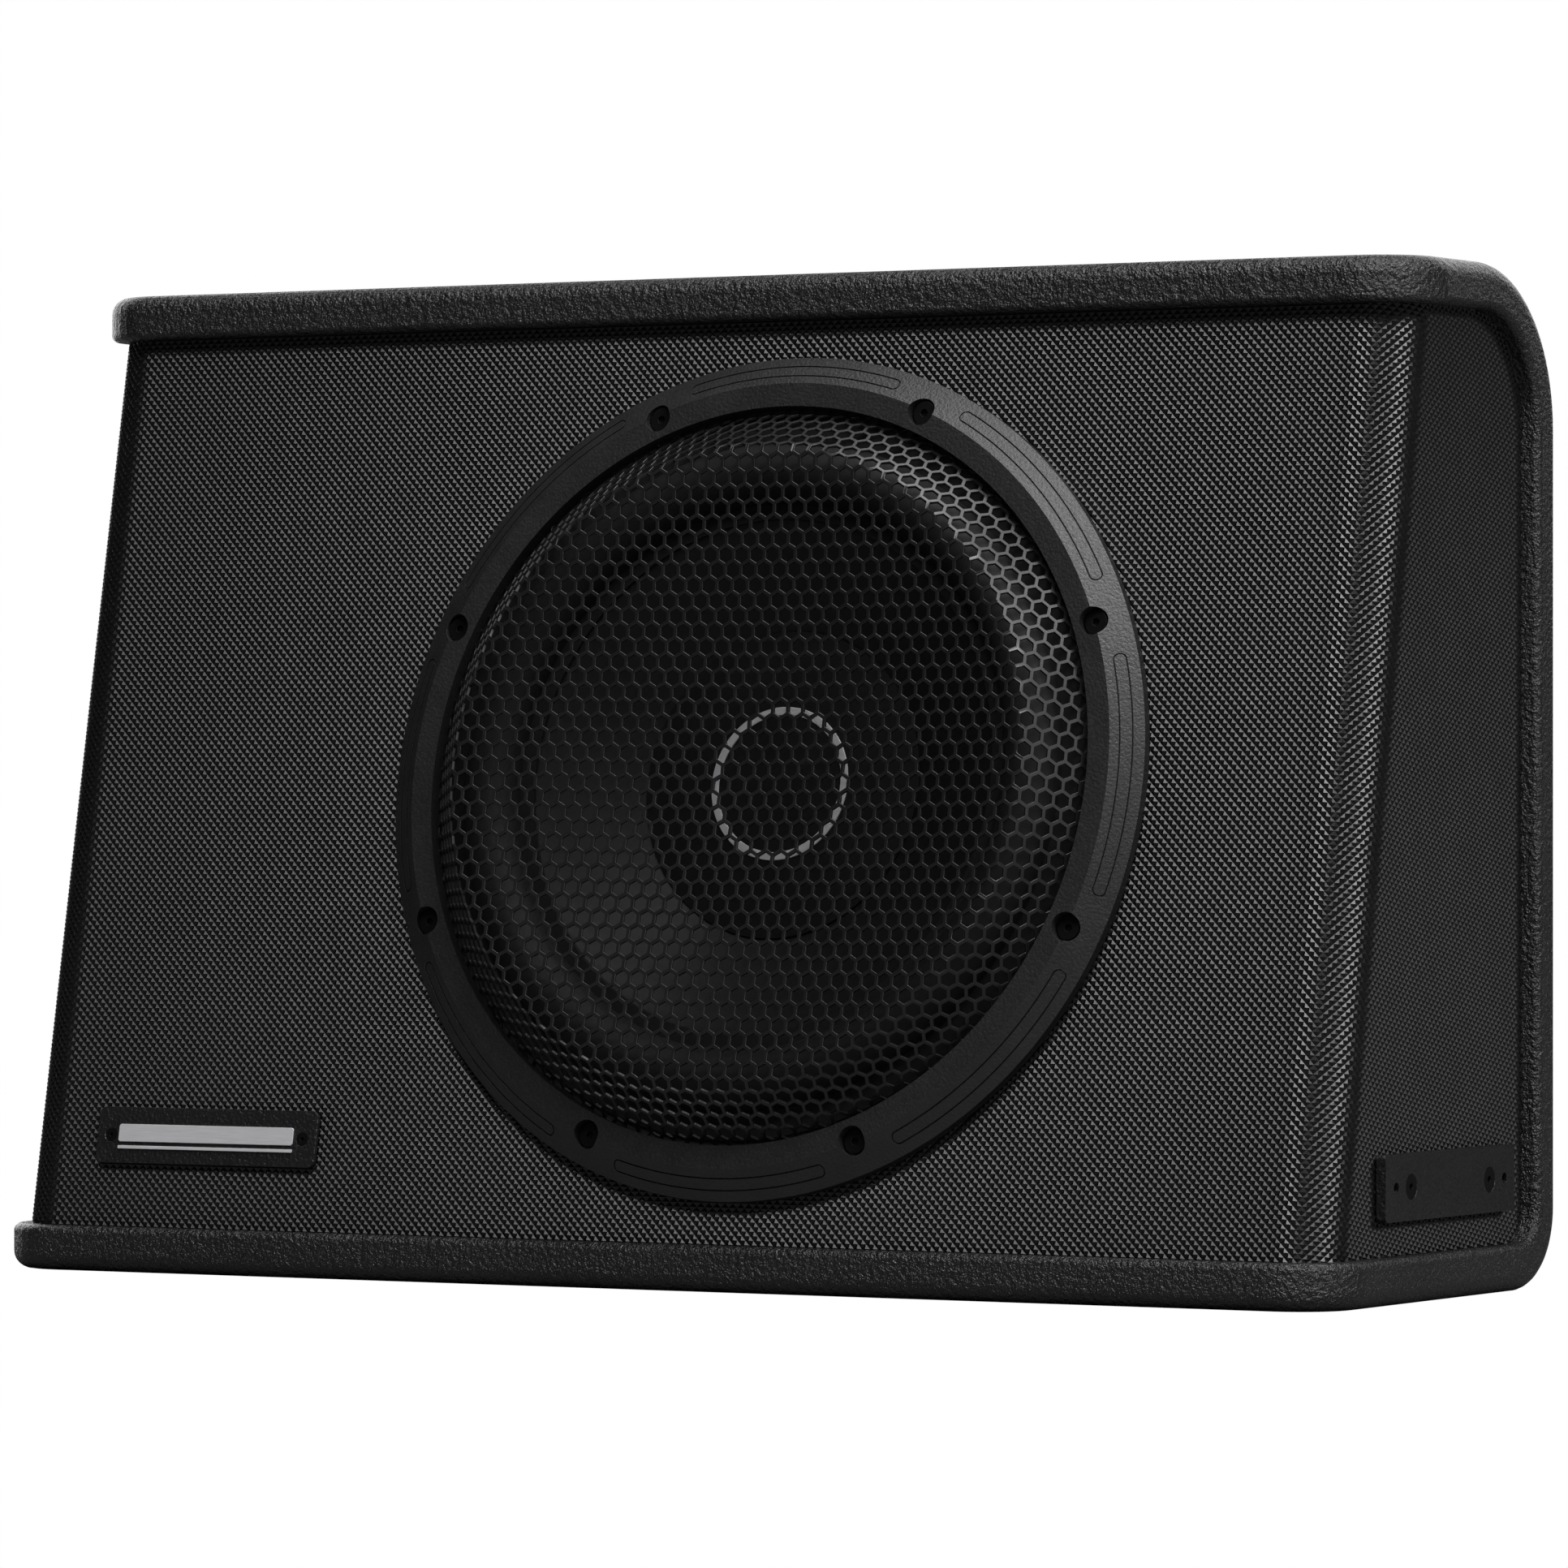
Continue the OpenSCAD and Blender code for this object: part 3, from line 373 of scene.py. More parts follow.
def material(slot):
    """The material of a slot, made the first time it is asked for."""
    if slot not in MATERIALS:
        nodes = Nodes(slot)
        FINISHES[slot](nodes)
        MATERIALS[slot] = nodes.material
    return MATERIALS[slot]


# ---- making pieces ----

WELD = 1e-6


def add_piece(name, mesh, slot, body=ROOT, replaced=()):
    """Puts a finished mesh on its body, with its slot's material, in place of the CAD nodes named."""
    piece = bpy.data.objects.new(name, mesh)
    bpy.context.scene.collection.objects.link(piece)
    mesh.materials.clear()
    mesh.materials.append(material(slot))
    if body:
        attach(piece, body)
    if replaced:
        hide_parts(*replaced)
    return piece


@contextmanager
def edited(mesh):
    """The mesh as a bmesh, written back into it at the end of the with block."""
    bm = bmesh.new()
    bm.from_mesh(mesh)
    yield bm
    bm.to_mesh(mesh)
    bm.free()


def new_mesh(name, vertices, faces):
    mesh = bpy.data.meshes.new(name)
    mesh.from_pydata([tuple(v) for v in vertices], [], [tuple(f) for f in faces])
    return mesh


def mark_sharp(mesh, degrees):
    """Smooths the faces, and makes the edges sharp where they turn by more than an angle."""
    limit = math.radians(degrees)
    with edited(mesh) as bm:
        for face in bm.faces:
            face.smooth = True
        for edge in bm.edges:
            edge.smooth = len(edge.link_faces) == 2 and edge.calc_face_angle(0) < limit


def rounded_outline(corners, steps=6):
    """A closed outline from (x, y, radius) corners, each turned into an arc."""
    outline = []
    count = len(corners)
    for i, (x, y, radius) in enumerate(corners):
        here = Vector((x, y))
        before = (Vector(corners[i - 1][:2]) - here).normalized()
        after = (Vector(corners[(i + 1) % count][:2]) - here).normalized()
        if radius <= 0:
            outline.append(here)
            continue
        half = before.angle(after) / 2
        reach = radius / math.tan(half)
        centre = here + (before + after).normalized() * (radius / math.sin(half))
        start = here + before * reach - centre
        turn = start.angle_signed(here + after * reach - centre)
        for k in range(steps + 1):
            outline.append(centre + Matrix.Rotation(-turn * k / steps, 2) @ start)
    return outline


def lengths_along(points):
    """How far along an open line each of its points lies."""
    return np.concatenate([[0], np.cumsum(np.linalg.norm(np.diff(points, axis=0), axis=1))])


def around(radius, angle, height):
    """A point round the driver's axis, before the driver's matrix moves it into place."""
    return (radius * math.cos(angle), radius * math.sin(angle), height)


def lathe(name, outline, segments, sharp_degrees=35):
    """Turns a closed (radius, height) outline about the driver's axis."""
    vertices = []
    faces = []
    rings = len(outline)
    for k in range(segments):
        angle = 2 * math.pi * k / segments
        vertices += [DRIVER_MATRIX @ Vector(around(radius, angle, height)) for radius, height in outline]
        ahead = (k + 1) % segments
        for i in range(rings):
            j = (i + 1) % rings
            faces.append((k * rings + i, ahead * rings + i, ahead * rings + j, k * rings + j))
    mesh = new_mesh(name, vertices, faces)
    mark_sharp(mesh, sharp_degrees)
    with edited(mesh) as bm:
        bmesh.ops.remove_doubles(bm, verts=bm.verts, dist=WELD)
        bmesh.ops.recalc_face_normals(bm, faces=bm.faces)
    return mesh


def apply_modifiers(piece):
    """Bakes an object's modifiers into its mesh."""
    graph = bpy.context.evaluated_depsgraph_get()
    mesh = bpy.data.meshes.new_from_object(piece.evaluated_get(graph))
    old = piece.data
    piece.modifiers.clear()
    piece.data = mesh
    bpy.data.meshes.remove(old)


def round_edges(piece, width, segments, degrees):
    """Bevels the edges that turn by more than an angle, and sets the shading of the result."""
    bevel = piece.modifiers.new("edges", "BEVEL")
    bevel.width = width
    bevel.segments = segments
    bevel.limit_method = "ANGLE"
    bevel.angle_limit = math.radians(degrees)
    apply_modifiers(piece)
    mark_sharp(piece.data, 50)


def flatten_shading(piece):
    """Lets the large faces set the normals, so that flat faces read as flat."""
    weighted = piece.modifiers.new("flat faces stay flat", "WEIGHTED_NORMAL")
    weighted.keep_sharp = True
    weighted.weight = 100


def body_of(node):
    for body, members in RECORD["behaviour"]["bodies"].items():
        if node in members:
            return body
    return ROOT


def softened(node, width):
    """A CAD node rebuilt with its flat faces joined and its sharp edges rounded."""
    mesh = frame["nodes"][node].data.copy()
    mesh.name = node + "_shape"
    with edited(mesh) as bm:
        bmesh.ops.remove_doubles(bm, verts=bm.verts, dist=2 * WELD)
        bmesh.ops.dissolve_limit(bm, angle_limit=math.radians(1), verts=bm.verts, edges=bm.edges)
    piece = add_piece(node + "_finished", mesh, SLOT_OF[node], None, (node,))
    round_edges(piece, width, 2, 35)
    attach(piece, body_of(node))
    flatten_shading(piece)


# ---- the coated shell ----

OUTER_EDGE = 7 * MM
INNER_EDGE = 3 * MM
PLAN_CORNER = 28 * MM
TOP_BEND = (BACK[1].y - TOP[1].y) - PANEL
BOTTOM_BEND = (BACK[1].y - BOTTOM[1].y) - PANEL


def quarter_turn(steps):
    return [math.pi / 2 * k / steps for k in range(steps + 1)]


def shell_path():
    """Stations along the inside of the C, from the top's front edge to the bottom's. Each is a
    point (y, z) and the direction out through the board."""
    top_z = HEIGHT - PANEL
    bend_steps = 20
    stations = []

    def straight(start, end, outward):
        stations.extend([(start, outward), (end, outward)])

    def bend(centre, radius, first, last):
        for k in range(1, bend_steps):
            a = math.radians(first + (last - first) * k / bend_steps)
            outward = (math.cos(a), math.sin(a))
            point = (centre[0] + radius * outward[0], centre[1] + radius * outward[1])
            stations.append((point, outward))

    straight((TOP[0].y, top_z), (TOP[1].y, top_z), (0, 1))
    bend((TOP[1].y, top_z - TOP_BEND), TOP_BEND, 90, 0)
    straight((INNER_BACK, top_z - TOP_BEND), (INNER_BACK, PANEL + BOTTOM_BEND), (1, 0))
    bend((BOTTOM[1].y, PANEL + BOTTOM_BEND), BOTTOM_BEND, 0, -90)
    straight((BOTTOM[1].y, PANEL), (BOTTOM[0].y, PANEL), (0, -1))
    return stations


def shell_levels():
    """The (inset, depth) of each loop of the skin, from the inner face out over both rounded edges."""
    turns = quarter_turn(6)
    inner = [(INNER_EDGE * (1 - math.sin(a)), INNER_EDGE * (1 - math.cos(a))) for a in turns]
    outer = [(OUTER_EDGE * (1 - math.cos(a)), PANEL - OUTER_EDGE * (1 - math.sin(a))) for a in turns]
    return inner + outer


def shell_mesh():
    """The coated C as one skin: loops that follow the strip's outline, one for each depth
    through the board, drawn in at the edges so that they are rounded."""
    stations = shell_path()
    points = np.array([point for point, outward in stations])
    outwards = np.array([outward for point, outward in stations])
    lengths = lengths_along(points)
    total = lengths[-1]
    turns = quarter_turn(10)

    def place(x, along, depth):
        y, z = (np.interp(along, lengths, points[:, axis]) for axis in (0, 1))
        out_y, out_z = (np.interp(along, lengths, outwards[:, axis]) for axis in (0, 1))
        return (x, y + out_y * depth, z + out_z * depth)

    def half_outline(inset):
        """The (x, length) points of the right half, from one front edge round to the other."""
        radius = PLAN_CORNER - inset
        corner = [(HALF_WIDTH - PLAN_CORNER + radius * math.sin(a), radius * math.cos(a)) for a in turns]
        return [*((x, PLAN_CORNER - rest) for x, rest in corner),
                *((HALF_WIDTH - inset, length) for length in lengths[1:-1]),
                *((x, total - PLAN_CORNER + rest) for x, rest in reversed(corner))]

    vertices = []
    faces = []
    levels = shell_levels()
    for inset, depth in levels:
        half = half_outline(inset)
        vertices += [place(x, length, depth) for x, length in half]
        vertices += [place(-x, length, depth) for x, length in reversed(half)]
    loop = 2 * len(half)
    last = (len(levels) - 1) * loop
    for low in range(0, last, loop):
        high = low + loop
        for i in range(loop):
            j = (i + 1) % loop
            faces.append((low + i, low + j, high + j, high + i))
    for i in range(len(half) - 1):
        faces.append((i, loop - 1 - i, loop - 2 - i, i + 1))
        faces.append((last + i, last + i + 1, last + loop - 2 - i, last + loop - 1 - i))
    mesh = new_mesh("coated_shell", vertices, faces)
    mark_sharp(mesh, 50)
    return mesh


def coated_shell():
    boards = ("bottom_panel", "top_panel", "back_panel")
    flatten_shading(add_piece("coated_shell", shell_mesh(), "textured_coating", ROOT, boards))


# ---- the embossed wrap ----

HALF_DIAMOND = 3.494 / 2 * MM
RELIEF = 0.62 * MM
WRAP_T = 1 * MM
BODY_CORNER = 22 * MM
CORNER_X = WRAP[1].x - BODY_CORNER
HOLE_R = 160 * MM
HIDDEN_MARGIN = 5 * MM
SQUEEZE = 0.98
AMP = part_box("amp_panel")
AMP_MIDDLE = (AMP[0] + AMP[1]) / 2
AMP_HALF_W = (AMP[1].y - AMP[0].y) / 2
AMP_HALF_H = (AMP[1].z - AMP[0].z) / 2


def wrap_point(s, v, h):
    """Where points of the wrap's unrolled sheet lie: s round the body, v up the slope, h out of it."""
    side = np.sign(s)
    over = np.maximum(np.abs(s) - CORNER_X, 0)
    angle = np.minimum(over / BODY_CORNER, math.pi / 2)
    back = np.maximum(over - BODY_CORNER * math.pi / 2, 0)
    reach = BODY_CORNER + h
    u = side * (np.minimum(np.abs(s), CORNER_X) + reach * np.sin(angle))
    out = reach * np.cos(angle) - BODY_CORNER - back
    return np.array(FACE) + np.outer(u, SIDEWAYS) + np.outer(v, UPHILL) + np.outer(out, NORMAL)


def wrap_limits(s):
    """The lowest and highest v of the wrap at each s, between the top and bottom panels."""
    z = wrap_point(s, 0 * s, 0)[:, 2]
    rise = math.cos(TILT)
    return (PANEL - z) / rise, (HEIGHT - PANEL - z) / rise


def back_limit(z):
    """How far back the inside of the shell reaches at each height z."""
    top = np.maximum(z - (HEIGHT - PANEL - TOP_BEND), 0)
    bottom = np.maximum(PANEL + BOTTOM_BEND - z, 0)
    top_y = TOP[1].y + np.sqrt(np.maximum(TOP_BEND ** 2 - top ** 2, 0))
    bottom_y = BOTTOM[1].y + np.sqrt(np.maximum(BOTTOM_BEND ** 2 - bottom ** 2, 0))
    return np.where(bottom > 0, bottom_y, np.where(top > 0, top_y, INNER_BACK))


def lattice_point(i, j, s_low, s_high):
    """The sheet's (s, v) at lattice points (i, j), pulled in to the edges of the wrap."""
    s = np.clip(i * HALF_DIAMOND, s_low, s_high)
    v = np.clip(j * HALF_DIAMOND, *wrap_limits(s))
    places = wrap_point(s, v, 0)
    behind = np.maximum(places[:, 1] - back_limit(places[:, 2]), 0) / math.cos(TILT)
    s = s - np.sign(s) * behind
    return s, np.clip(v, *wrap_limits(s))


def shown_tips(i, j, s, v):
    """Which diamonds are nearly whole, and neither in the driver's hole nor under the amplifier's panel."""
    moved = np.hypot(s - i * HALF_DIAMOND, v - j * HALF_DIAMOND)
    apart = np.hypot(s - DRIVER_X, v)
    places = wrap_point(s, v, 0)
    under_panel = ((s < -CORNER_X - BODY_CORNER)
                   & (np.abs(places[:, 1] - AMP_MIDDLE.y) < AMP_HALF_W - HIDDEN_MARGIN)
                   & (np.abs(places[:, 2] - AMP_MIDDLE.z) < AMP_HALF_H - HIDDEN_MARGIN))
    return (moved < HALF_DIAMOND * SQUEEZE) & (apart > HOLE_R) & ~under_panel


def wrap_sheet(name, s_low, s_high):
    """A stretch of the wrap, with a four-sided pyramid on each diamond of its lattice."""
    first = math.floor(s_low / HALF_DIAMOND) - 2
    last = math.ceil(s_high / HALF_DIAMOND) + 2
    rows = math.ceil(HEIGHT / HALF_DIAMOND)
    i, j = np.meshgrid(np.arange(first, last + 1), np.arange(-rows, rows + 1), indexing="ij")
    i, j = i.ravel(), j.ravel()
    apexes = (i + j) % 2 == 0
    i, j = i[apexes], j[apexes]
    s, v = lattice_point(i, j, s_low, s_high)
    keep = shown_tips(i, j, s, v)
    i, j, s, v = i[keep], j[keep], s[keep], v[keep]

    corners = {}
    cells = []
    for a, b in zip(i.tolist(), j.tolist()):
        neighbours = ((a + 1, b), (a, b + 1), (a - 1, b), (a, b - 1))
        cells.append([corners.setdefault(key, len(corners)) for key in neighbours])
    keys = np.array(list(corners))
    corner_s, corner_v = lattice_point(keys[:, 0], keys[:, 1], s_low, s_high)
    vertices = np.concatenate([wrap_point(corner_s, corner_v, -RELIEF),
                               wrap_point(corner_s, corner_v, -WRAP_T),
                               wrap_point(s, v, 0)])
    count = len(corners)
    faces = []
    edges = {}
    for k, (east, north, west, south) in enumerate(cells):
        tip = 2 * count + k
        for one, two in ((east, north), (north, west), (west, south), (south, east)):
            faces.append((one, two, tip))
            edges[(one, two)] = True
        faces.append((count + south, count + west, count + north, count + east))
    for one, two in edges:
        if (two, one) not in edges:
            faces.append((two, one, count + one, count + two))

    mesh = new_mesh(name, vertices, faces)
    with edited(mesh) as bm:
        bmesh.ops.remove_doubles(bm, verts=bm.verts, dist=WELD)
        bmesh.ops.dissolve_degenerate(bm, edges=bm.edges, dist=WELD / 10)
    return mesh


def embossed_wrap():
    """The wrap in three stretches: round the left corner and end, the front, and the right."""
    end = CORNER_X + BODY_CORNER * math.pi / 2 + (BACK[1].y - BOTTOM[0].y)
    for name, low, high in (("wrap_front", -CORNER_X, CORNER_X),
                            ("wrap_left_end", -end, -CORNER_X),
                            ("wrap_right_end", CORNER_X, end)):
        add_piece(name, wrap_sheet(name, low, high), "embossed_vinyl", ROOT, ("vinyl_wrap",))


# ---- the grille: radii from the driver's axis, heights over the wrapped face ----

BAYS = 8
RING_R = (RING[1].x - RING[0].x) / 2
RING_H = 10.7 * MM
RING_EDGE_H = 3.9 * MM
RING_BORE_R = 143.75 * MM
CREASE_R = 152.8 * MM
SEAT_H = 4 * MM
SEAT_R = 158.5 * MM
MESH_SEAT_H = SEAT_H + 1.2 * MM
MESH_SEAT_R = RING_BORE_R + 2.45 * MM
RING_SLOPE = (RING_H - RING_EDGE_H) / (RING_R - CREASE_R)

SCREW_CIRCLE_R = 152 * MM
SCREW_HOLE_R = 2.75 * MM
COUNTERBORE_R = 5.5 * MM
COUNTERBORE_H = 5.2 * MM

PAD_R = 158.25 * MM
PAD_HALF_W = 2.1 * MM
PAD_HALF_ANGLE = math.radians(16.9)
GROOVE_W = 0.5 * MM
GROOVE_DEPTH = 0.8 * MM


def ring_face_h(radius):
    """Height of the ring's sloping face."""
    return RING_EDGE_H + (RING_R - radius) * RING_SLOPE


def pad_outline():
    """Once round a long pad: (along, off) from its middle, and (across, out) towards its outside."""
    side_steps = 32
    end_steps = 10
    straight = PAD_HALF_ANGLE * PAD_R - PAD_HALF_W
    path = []
    for side in (1, -1):
        for k in range(side_steps):
            path.append((side * straight * (1 - 2 * k / side_steps), side * PAD_HALF_W, 0, side))
        for k in range(end_steps):
            a = math.pi * k / end_steps
            across, out = -side * math.sin(a), side * math.cos(a)
            path.append((-side * straight + PAD_HALF_W * across, PAD_HALF_W * out, across, out))
    return path


def groove_cutter(middle):
    """A closed band that cuts the outline of one long pad into the ring's sloping face."""
    path = pad_outline()
    vertices = []
    for along, off, across, out in path:
        for reach in (-GROOVE_W / 2, GROOVE_W / 2):
            radius = PAD_R + off + out * reach
            angle = middle + (along + across * reach) / PAD_R
            for lift in (-GROOVE_DEPTH, 3 * MM):
                vertices.append(around(radius, angle, ring_face_h(radius) + lift))
    faces = []
    for k in range(len(path)):
        a, b = 4 * k, 4 * ((k + 1) % len(path))
        for one, two in ((0, 1), (1, 3), (3, 2), (2, 0)):
            faces.append((a + one, a + two, b + two, b + one))
    return vertices, faces


def screw_cutters(radius, low, high, segments):
    """A drill at each screw of the ring."""
    for bay in range(BAYS):
        x, y, low_h = around(SCREW_CIRCLE_R, 2 * math.pi * (bay + 0.5) / BAYS, low)
        vertices = []
        faces = []
        for k in range(segments):
            dx, dy, high_h = around(radius, 2 * math.pi * k / segments, high)
            vertices += [(x + dx, y + dy, low_h), (x + dx, y + dy, high_h)]
            j = (k + 1) % segments
            faces.append((2 * k, 2 * j, 2 * j + 1, 2 * k + 1))
        faces.append(tuple(2 * k for k in reversed(range(segments))))
        faces.append(tuple(2 * k + 1 for k in range(segments)))
        yield vertices, faces


def cut_away(piece, label, shapes):
    """Takes a group of closed (vertices, faces) shapes round the driver's axis out of a piece."""
    vertices = []
    faces = []
    for points, polygons in shapes:
        base = len(vertices)
        vertices += [DRIVER_MATRIX @ Vector(point) for point in points]
        faces += [tuple(base + i for i in polygon) for polygon in polygons]
    mesh = new_mesh(label, vertices, faces)
    with edited(mesh) as bm:
        bmesh.ops.recalc_face_normals(bm, faces=bm.faces)
    cutter = bpy.data.objects.new(label, mesh)
    bpy.context.scene.collection.objects.link(cutter)
    cut = piece.modifiers.new(label, "BOOLEAN")
    cut.operation = "DIFFERENCE"
    cut.object = cutter
    cut.solver = "EXACT"
    apply_modifiers(piece)
    bpy.data.objects.remove(cutter)


def grille_ring():
    """The ring, with counterbored screw holes and a fine groove round each long pad."""
    outline = [
        (RING_BORE_R, MESH_SEAT_H), (MESH_SEAT_R, MESH_SEAT_H), (MESH_SEAT_R, SEAT_H), (SEAT_R, SEAT_H),
        (SEAT_R, 0), (RING_R, 0), (RING_R, RING_EDGE_H), (CREASE_R, RING_H), (RING_BORE_R, RING_H)]
    name = "grille_ring_moulding"
    piece = add_piece(name, lathe(name, outline, 360), "grille_plastic", None, ("grille_ring",))
    cut_away(piece, "counterbores", screw_cutters(COUNTERBORE_R, COUNTERBORE_H, 20 * MM, 48))
    cut_away(piece, "screw_holes", screw_cutters(SCREW_HOLE_R, 1 * MM, 8 * MM, 32))
    cut_away(piece, "grooves", [groove_cutter(2 * math.pi * bay / BAYS) for bay in range(BAYS)])
    round_edges(piece, 0.12 * MM, 1, 20)
    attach(piece, ROOT)
    flatten_shading(piece)


HEX_PITCH = 6.83 * MM
STRAND = 1.4 * MM
HOLE_EDGE = 0.1 * MM
SHEET_T = 1.0 * MM
FOLD_R = 124.5 * MM
FOLD_H = 28 * MM
MIDDLE_H = 15.3 * MM
FOOT_R = RING_BORE_R - 0.35 * MM
FOOT_H = SEAT_H + 1.1 * MM
FLANGE_R = RING_BORE_R + 2 * MM


def mesh_profile():
    """The formed sheet's section from its middle outward: length so far, radius and height."""
    far_below = -50 * MM
    section = [(0, MIDDLE_H, 0), (FOLD_R, FOLD_H, 2 * MM),
               (FOOT_R, FOOT_H, 1.2 * MM), (FLANGE_R, FOOT_H, 0)]
    closing = [(FLANGE_R, far_below, 0), (0, far_below, 0)]
    points = rounded_outline(section + closing, 8)[:-len(closing)]
    points = np.array([tuple(point) for point in points])
    return lengths_along(points), points[:, 0], points[:, 1]


def flat_mesh(reach):
    """The sheet before it is formed: each hexagonal cell is a frame of four bands round its hole."""
    row = HEX_PITCH * math.sqrt(3) / 2
    apothem = HEX_PITCH / 2
    hole = apothem - STRAND / 2
    rings = [(apothem, 0.0), (hole + HOLE_EDGE, 0.0), (hole, -HOLE_EDGE),
             (hole, -SHEET_T), (apothem, -SHEET_T)]
    rows = int(reach / row) + 1
    columns = int(reach / HEX_PITCH) + 1
    vertices = []
    faces = []
    for j in range(-rows, rows + 1):
        for i in range(-columns, columns + 1):
            x = (i + 0.5 * (j % 2)) * HEX_PITCH
            y = j * row
            if math.hypot(x, y) > reach:
                continue
            base = len(vertices)
            for distance, height in rings:
                for k in range(6):
                    dx, dy, h = around(distance * 2 / math.sqrt(3), math.radians(30 + 60 * k), height)
                    vertices.append((x + dx, y + dy, h))
            for ring in range(len(rings) - 1):
                for k in range(6):
                    one = base + 6 * ring + k
                    two = base + 6 * ring + (k + 1) % 6
                    faces.append((one, two, two + 6, one + 6))
    return np.array(vertices), faces


def grille_mesh():
    """The perforated sheet, formed to its section."""
    lengths, radii, heights = mesh_profile()
    reach = lengths[-1]
    flat, faces = flat_mesh(reach)
    angle = np.arctan2(flat[:, 1], flat[:, 0])
    far = np.minimum(np.hypot(flat[:, 0], flat[:, 1]), reach)
    step = 0.2 * MM
    dr = np.interp(far + step, lengths, radii) - np.interp(far - step, lengths, radii)
    dh = np.interp(far + step, lengths, heights) - np.interp(far - step, lengths, heights)
    size = np.maximum(np.hypot(dr, dh), 1e-9)
    radius = np.interp(far, lengths, radii) - dh / size * flat[:, 2]
    height = np.interp(far, lengths, heights) + dr / size * flat[:, 2]
    vertices = [DRIVER_MATRIX @ Vector(around(*point)) for point in zip(radius, angle, height)]
    name = "grille_mesh_sheet"
    mesh = new_mesh(name, vertices, faces)
    with edited(mesh) as bm:
        bmesh.ops.remove_doubles(bm, verts=bm.verts, dist=0.01 * MM)
        bmesh.ops.dissolve_degenerate(bm, edges=bm.edges, dist=WELD)
        bmesh.ops.recalc_face_normals(bm, faces=bm.faces)
    mark_sharp(mesh, 30)
    add_piece(name, mesh, "mesh_steel", ROOT, ("grille_mesh",))


# ---- the driver behind the grille ----

CONE_R = 106.5 * MM
LANDING_W = 6 * MM
LANDING_T = 1.2 * MM
LANDING_H = SEAT_H
NECK_R = 32.5 * MM
NECK_H = -24.5 * MM
CAP_R = 60 * MM
CAP_T = 0.9 * MM
CAP_CROWN = 2 * MM
CAP_EDGE_H = NECK_H + (LANDING_H - NECK_H) / (CONE_R - LANDING_W - NECK_R) * (CAP_R - NECK_R)
ROLL_R = 12 * MM
ROLL_T = 1.2 * MM
ROLL_MID_R = CONE_R + ROLL_R
ROLL_EDGE_R = 141 * MM


def cap_face_h(radius):
    """Height of the dust cap's domed face."""
    return CAP_EDGE_H + CAP_T + CAP_CROWN * (1 - (radius / CAP_R) ** 2)


def add_turned(name, outline, segments, slot, node):
    """A turned piece that moves with the cone."""
    add_piece(name, lathe(name, outline, segments), slot, CONE, (node,))


def cone():
    """The cone, with a flat landing round its rim for the surround."""
    wall_t = 1.4 * MM
    bend = 4 * MM
    under_h = LANDING_H - LANDING_T
    outline = rounded_outline([
        (NECK_R, NECK_H, 0), (NECK_R, NECK_H - wall_t, 0), (CONE_R - LANDING_W + 0.3 * MM, under_h, bend),
        (CONE_R, under_h, 0), (CONE_R, LANDING_H, 0.4 * MM), (CONE_R - LANDING_W, LANDING_H, bend)])
    add_turned("cone_moulding", outline, 192, "cone_plastic", "cone")


def dust_cap():
    """A low dome over the middle of the cone."""
    top = [(CAP_R * f, cap_face_h(CAP_R * f)) for f in np.linspace(1, 0, 16)]
    outline = [(CAP_R, CAP_EDGE_H), *top, *[(r, h - CAP_T) for r, h in reversed(top)]]
    add_turned("dust_cap_moulding", outline, 144, "cone_plastic", "dust_cap")


def dust_cap_trim():
    """The silver ring laid on the dust cap."""
    width = 3.2 * MM
    edge = 0.3 * MM
    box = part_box("dust_cap_ring")
    radius = (box[1].x - box[0].x) / 2
    low = cap_face_h(radius) - 0.2 * MM
    high = cap_face_h(radius) + 0.5 * MM
    outline = rounded_outline([(radius - width, low, 0), (radius, low, 0),
                               (radius, high, edge), (radius - width, high, edge)])
    add_turned("dust_cap_trim", outline, 144, "silver_strip", "dust_cap_ring")


def follow_cone(piece):
    """Bakes the piece's placement into its mesh. The piece is left on no body, so it neither moves with the cone
    nor flexes.
    """
    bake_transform(piece)


def surround():
    """The half roll between the cone and the basket."""
    steps = 24
    roll = []
    for k in range(steps + 1):
        a = math.pi * k / steps
        roll.append((ROLL_MID_R - ROLL_R * math.cos(a), ROLL_T + ROLL_R * math.sin(a)))
    top = [(CONE_R - LANDING_W, ROLL_T), *roll, (ROLL_EDGE_R, ROLL_T)]
    outline = [(r, LANDING_H + h) for r, h in top]
    outline += [(r, LANDING_H + h - ROLL_T) for r, h in reversed(top)]
    name = "surround_roll"
    piece = add_piece(name, lathe(name, outline, 192, 60), "surround_foam", None, ("surround",))
    follow_cone(piece)


def flexing_parts():
    """The spider and the tinsel leads in their CAD shapes, whose inner ends meet the cone. They are baked in place
    on no body and do not move with it.
    """
    for node, inner_r, outer_r in (("spider", 34 * MM, 74 * MM), ("tinsel_leads", 48 * MM, 70 * MM)):
        mesh = frame["nodes"][node].data.copy()
        piece = add_piece(node + "_flexing", mesh, SLOT_OF[node], None, (node,))
        follow_cone(piece)


# ---- everything else ----

EDGE_WIDTHS_MM = {
    "badge_plate": 0.35, "badge_strip": 0.15, "badge_screws": 0.12,
    "right_mount_plate": 0.4, "left_mount_plate": 0.4, "mount_plate_screws": 0.2,
    "ring_screws": 0.2, "amp_panel": 0.3, "amp_panel_screws": 0.15, "heatsink": 0.25,
    "connector_tray": 0.3, "power_terminal_block": 0.3, "terminal_screws": 0.12,
    "fuse_holder": 0.25, "fuses": 0.2, "rca_jacks": 0.15, "speaker_input_socket": 0.25,
    "remote_port": 0.25, "gain_knob": 0.2, "crossover_knob": 0.2, "bass_boost_knob": 0.2,
    "phase_switch": 0.2, "input_switch": 0.2,
}


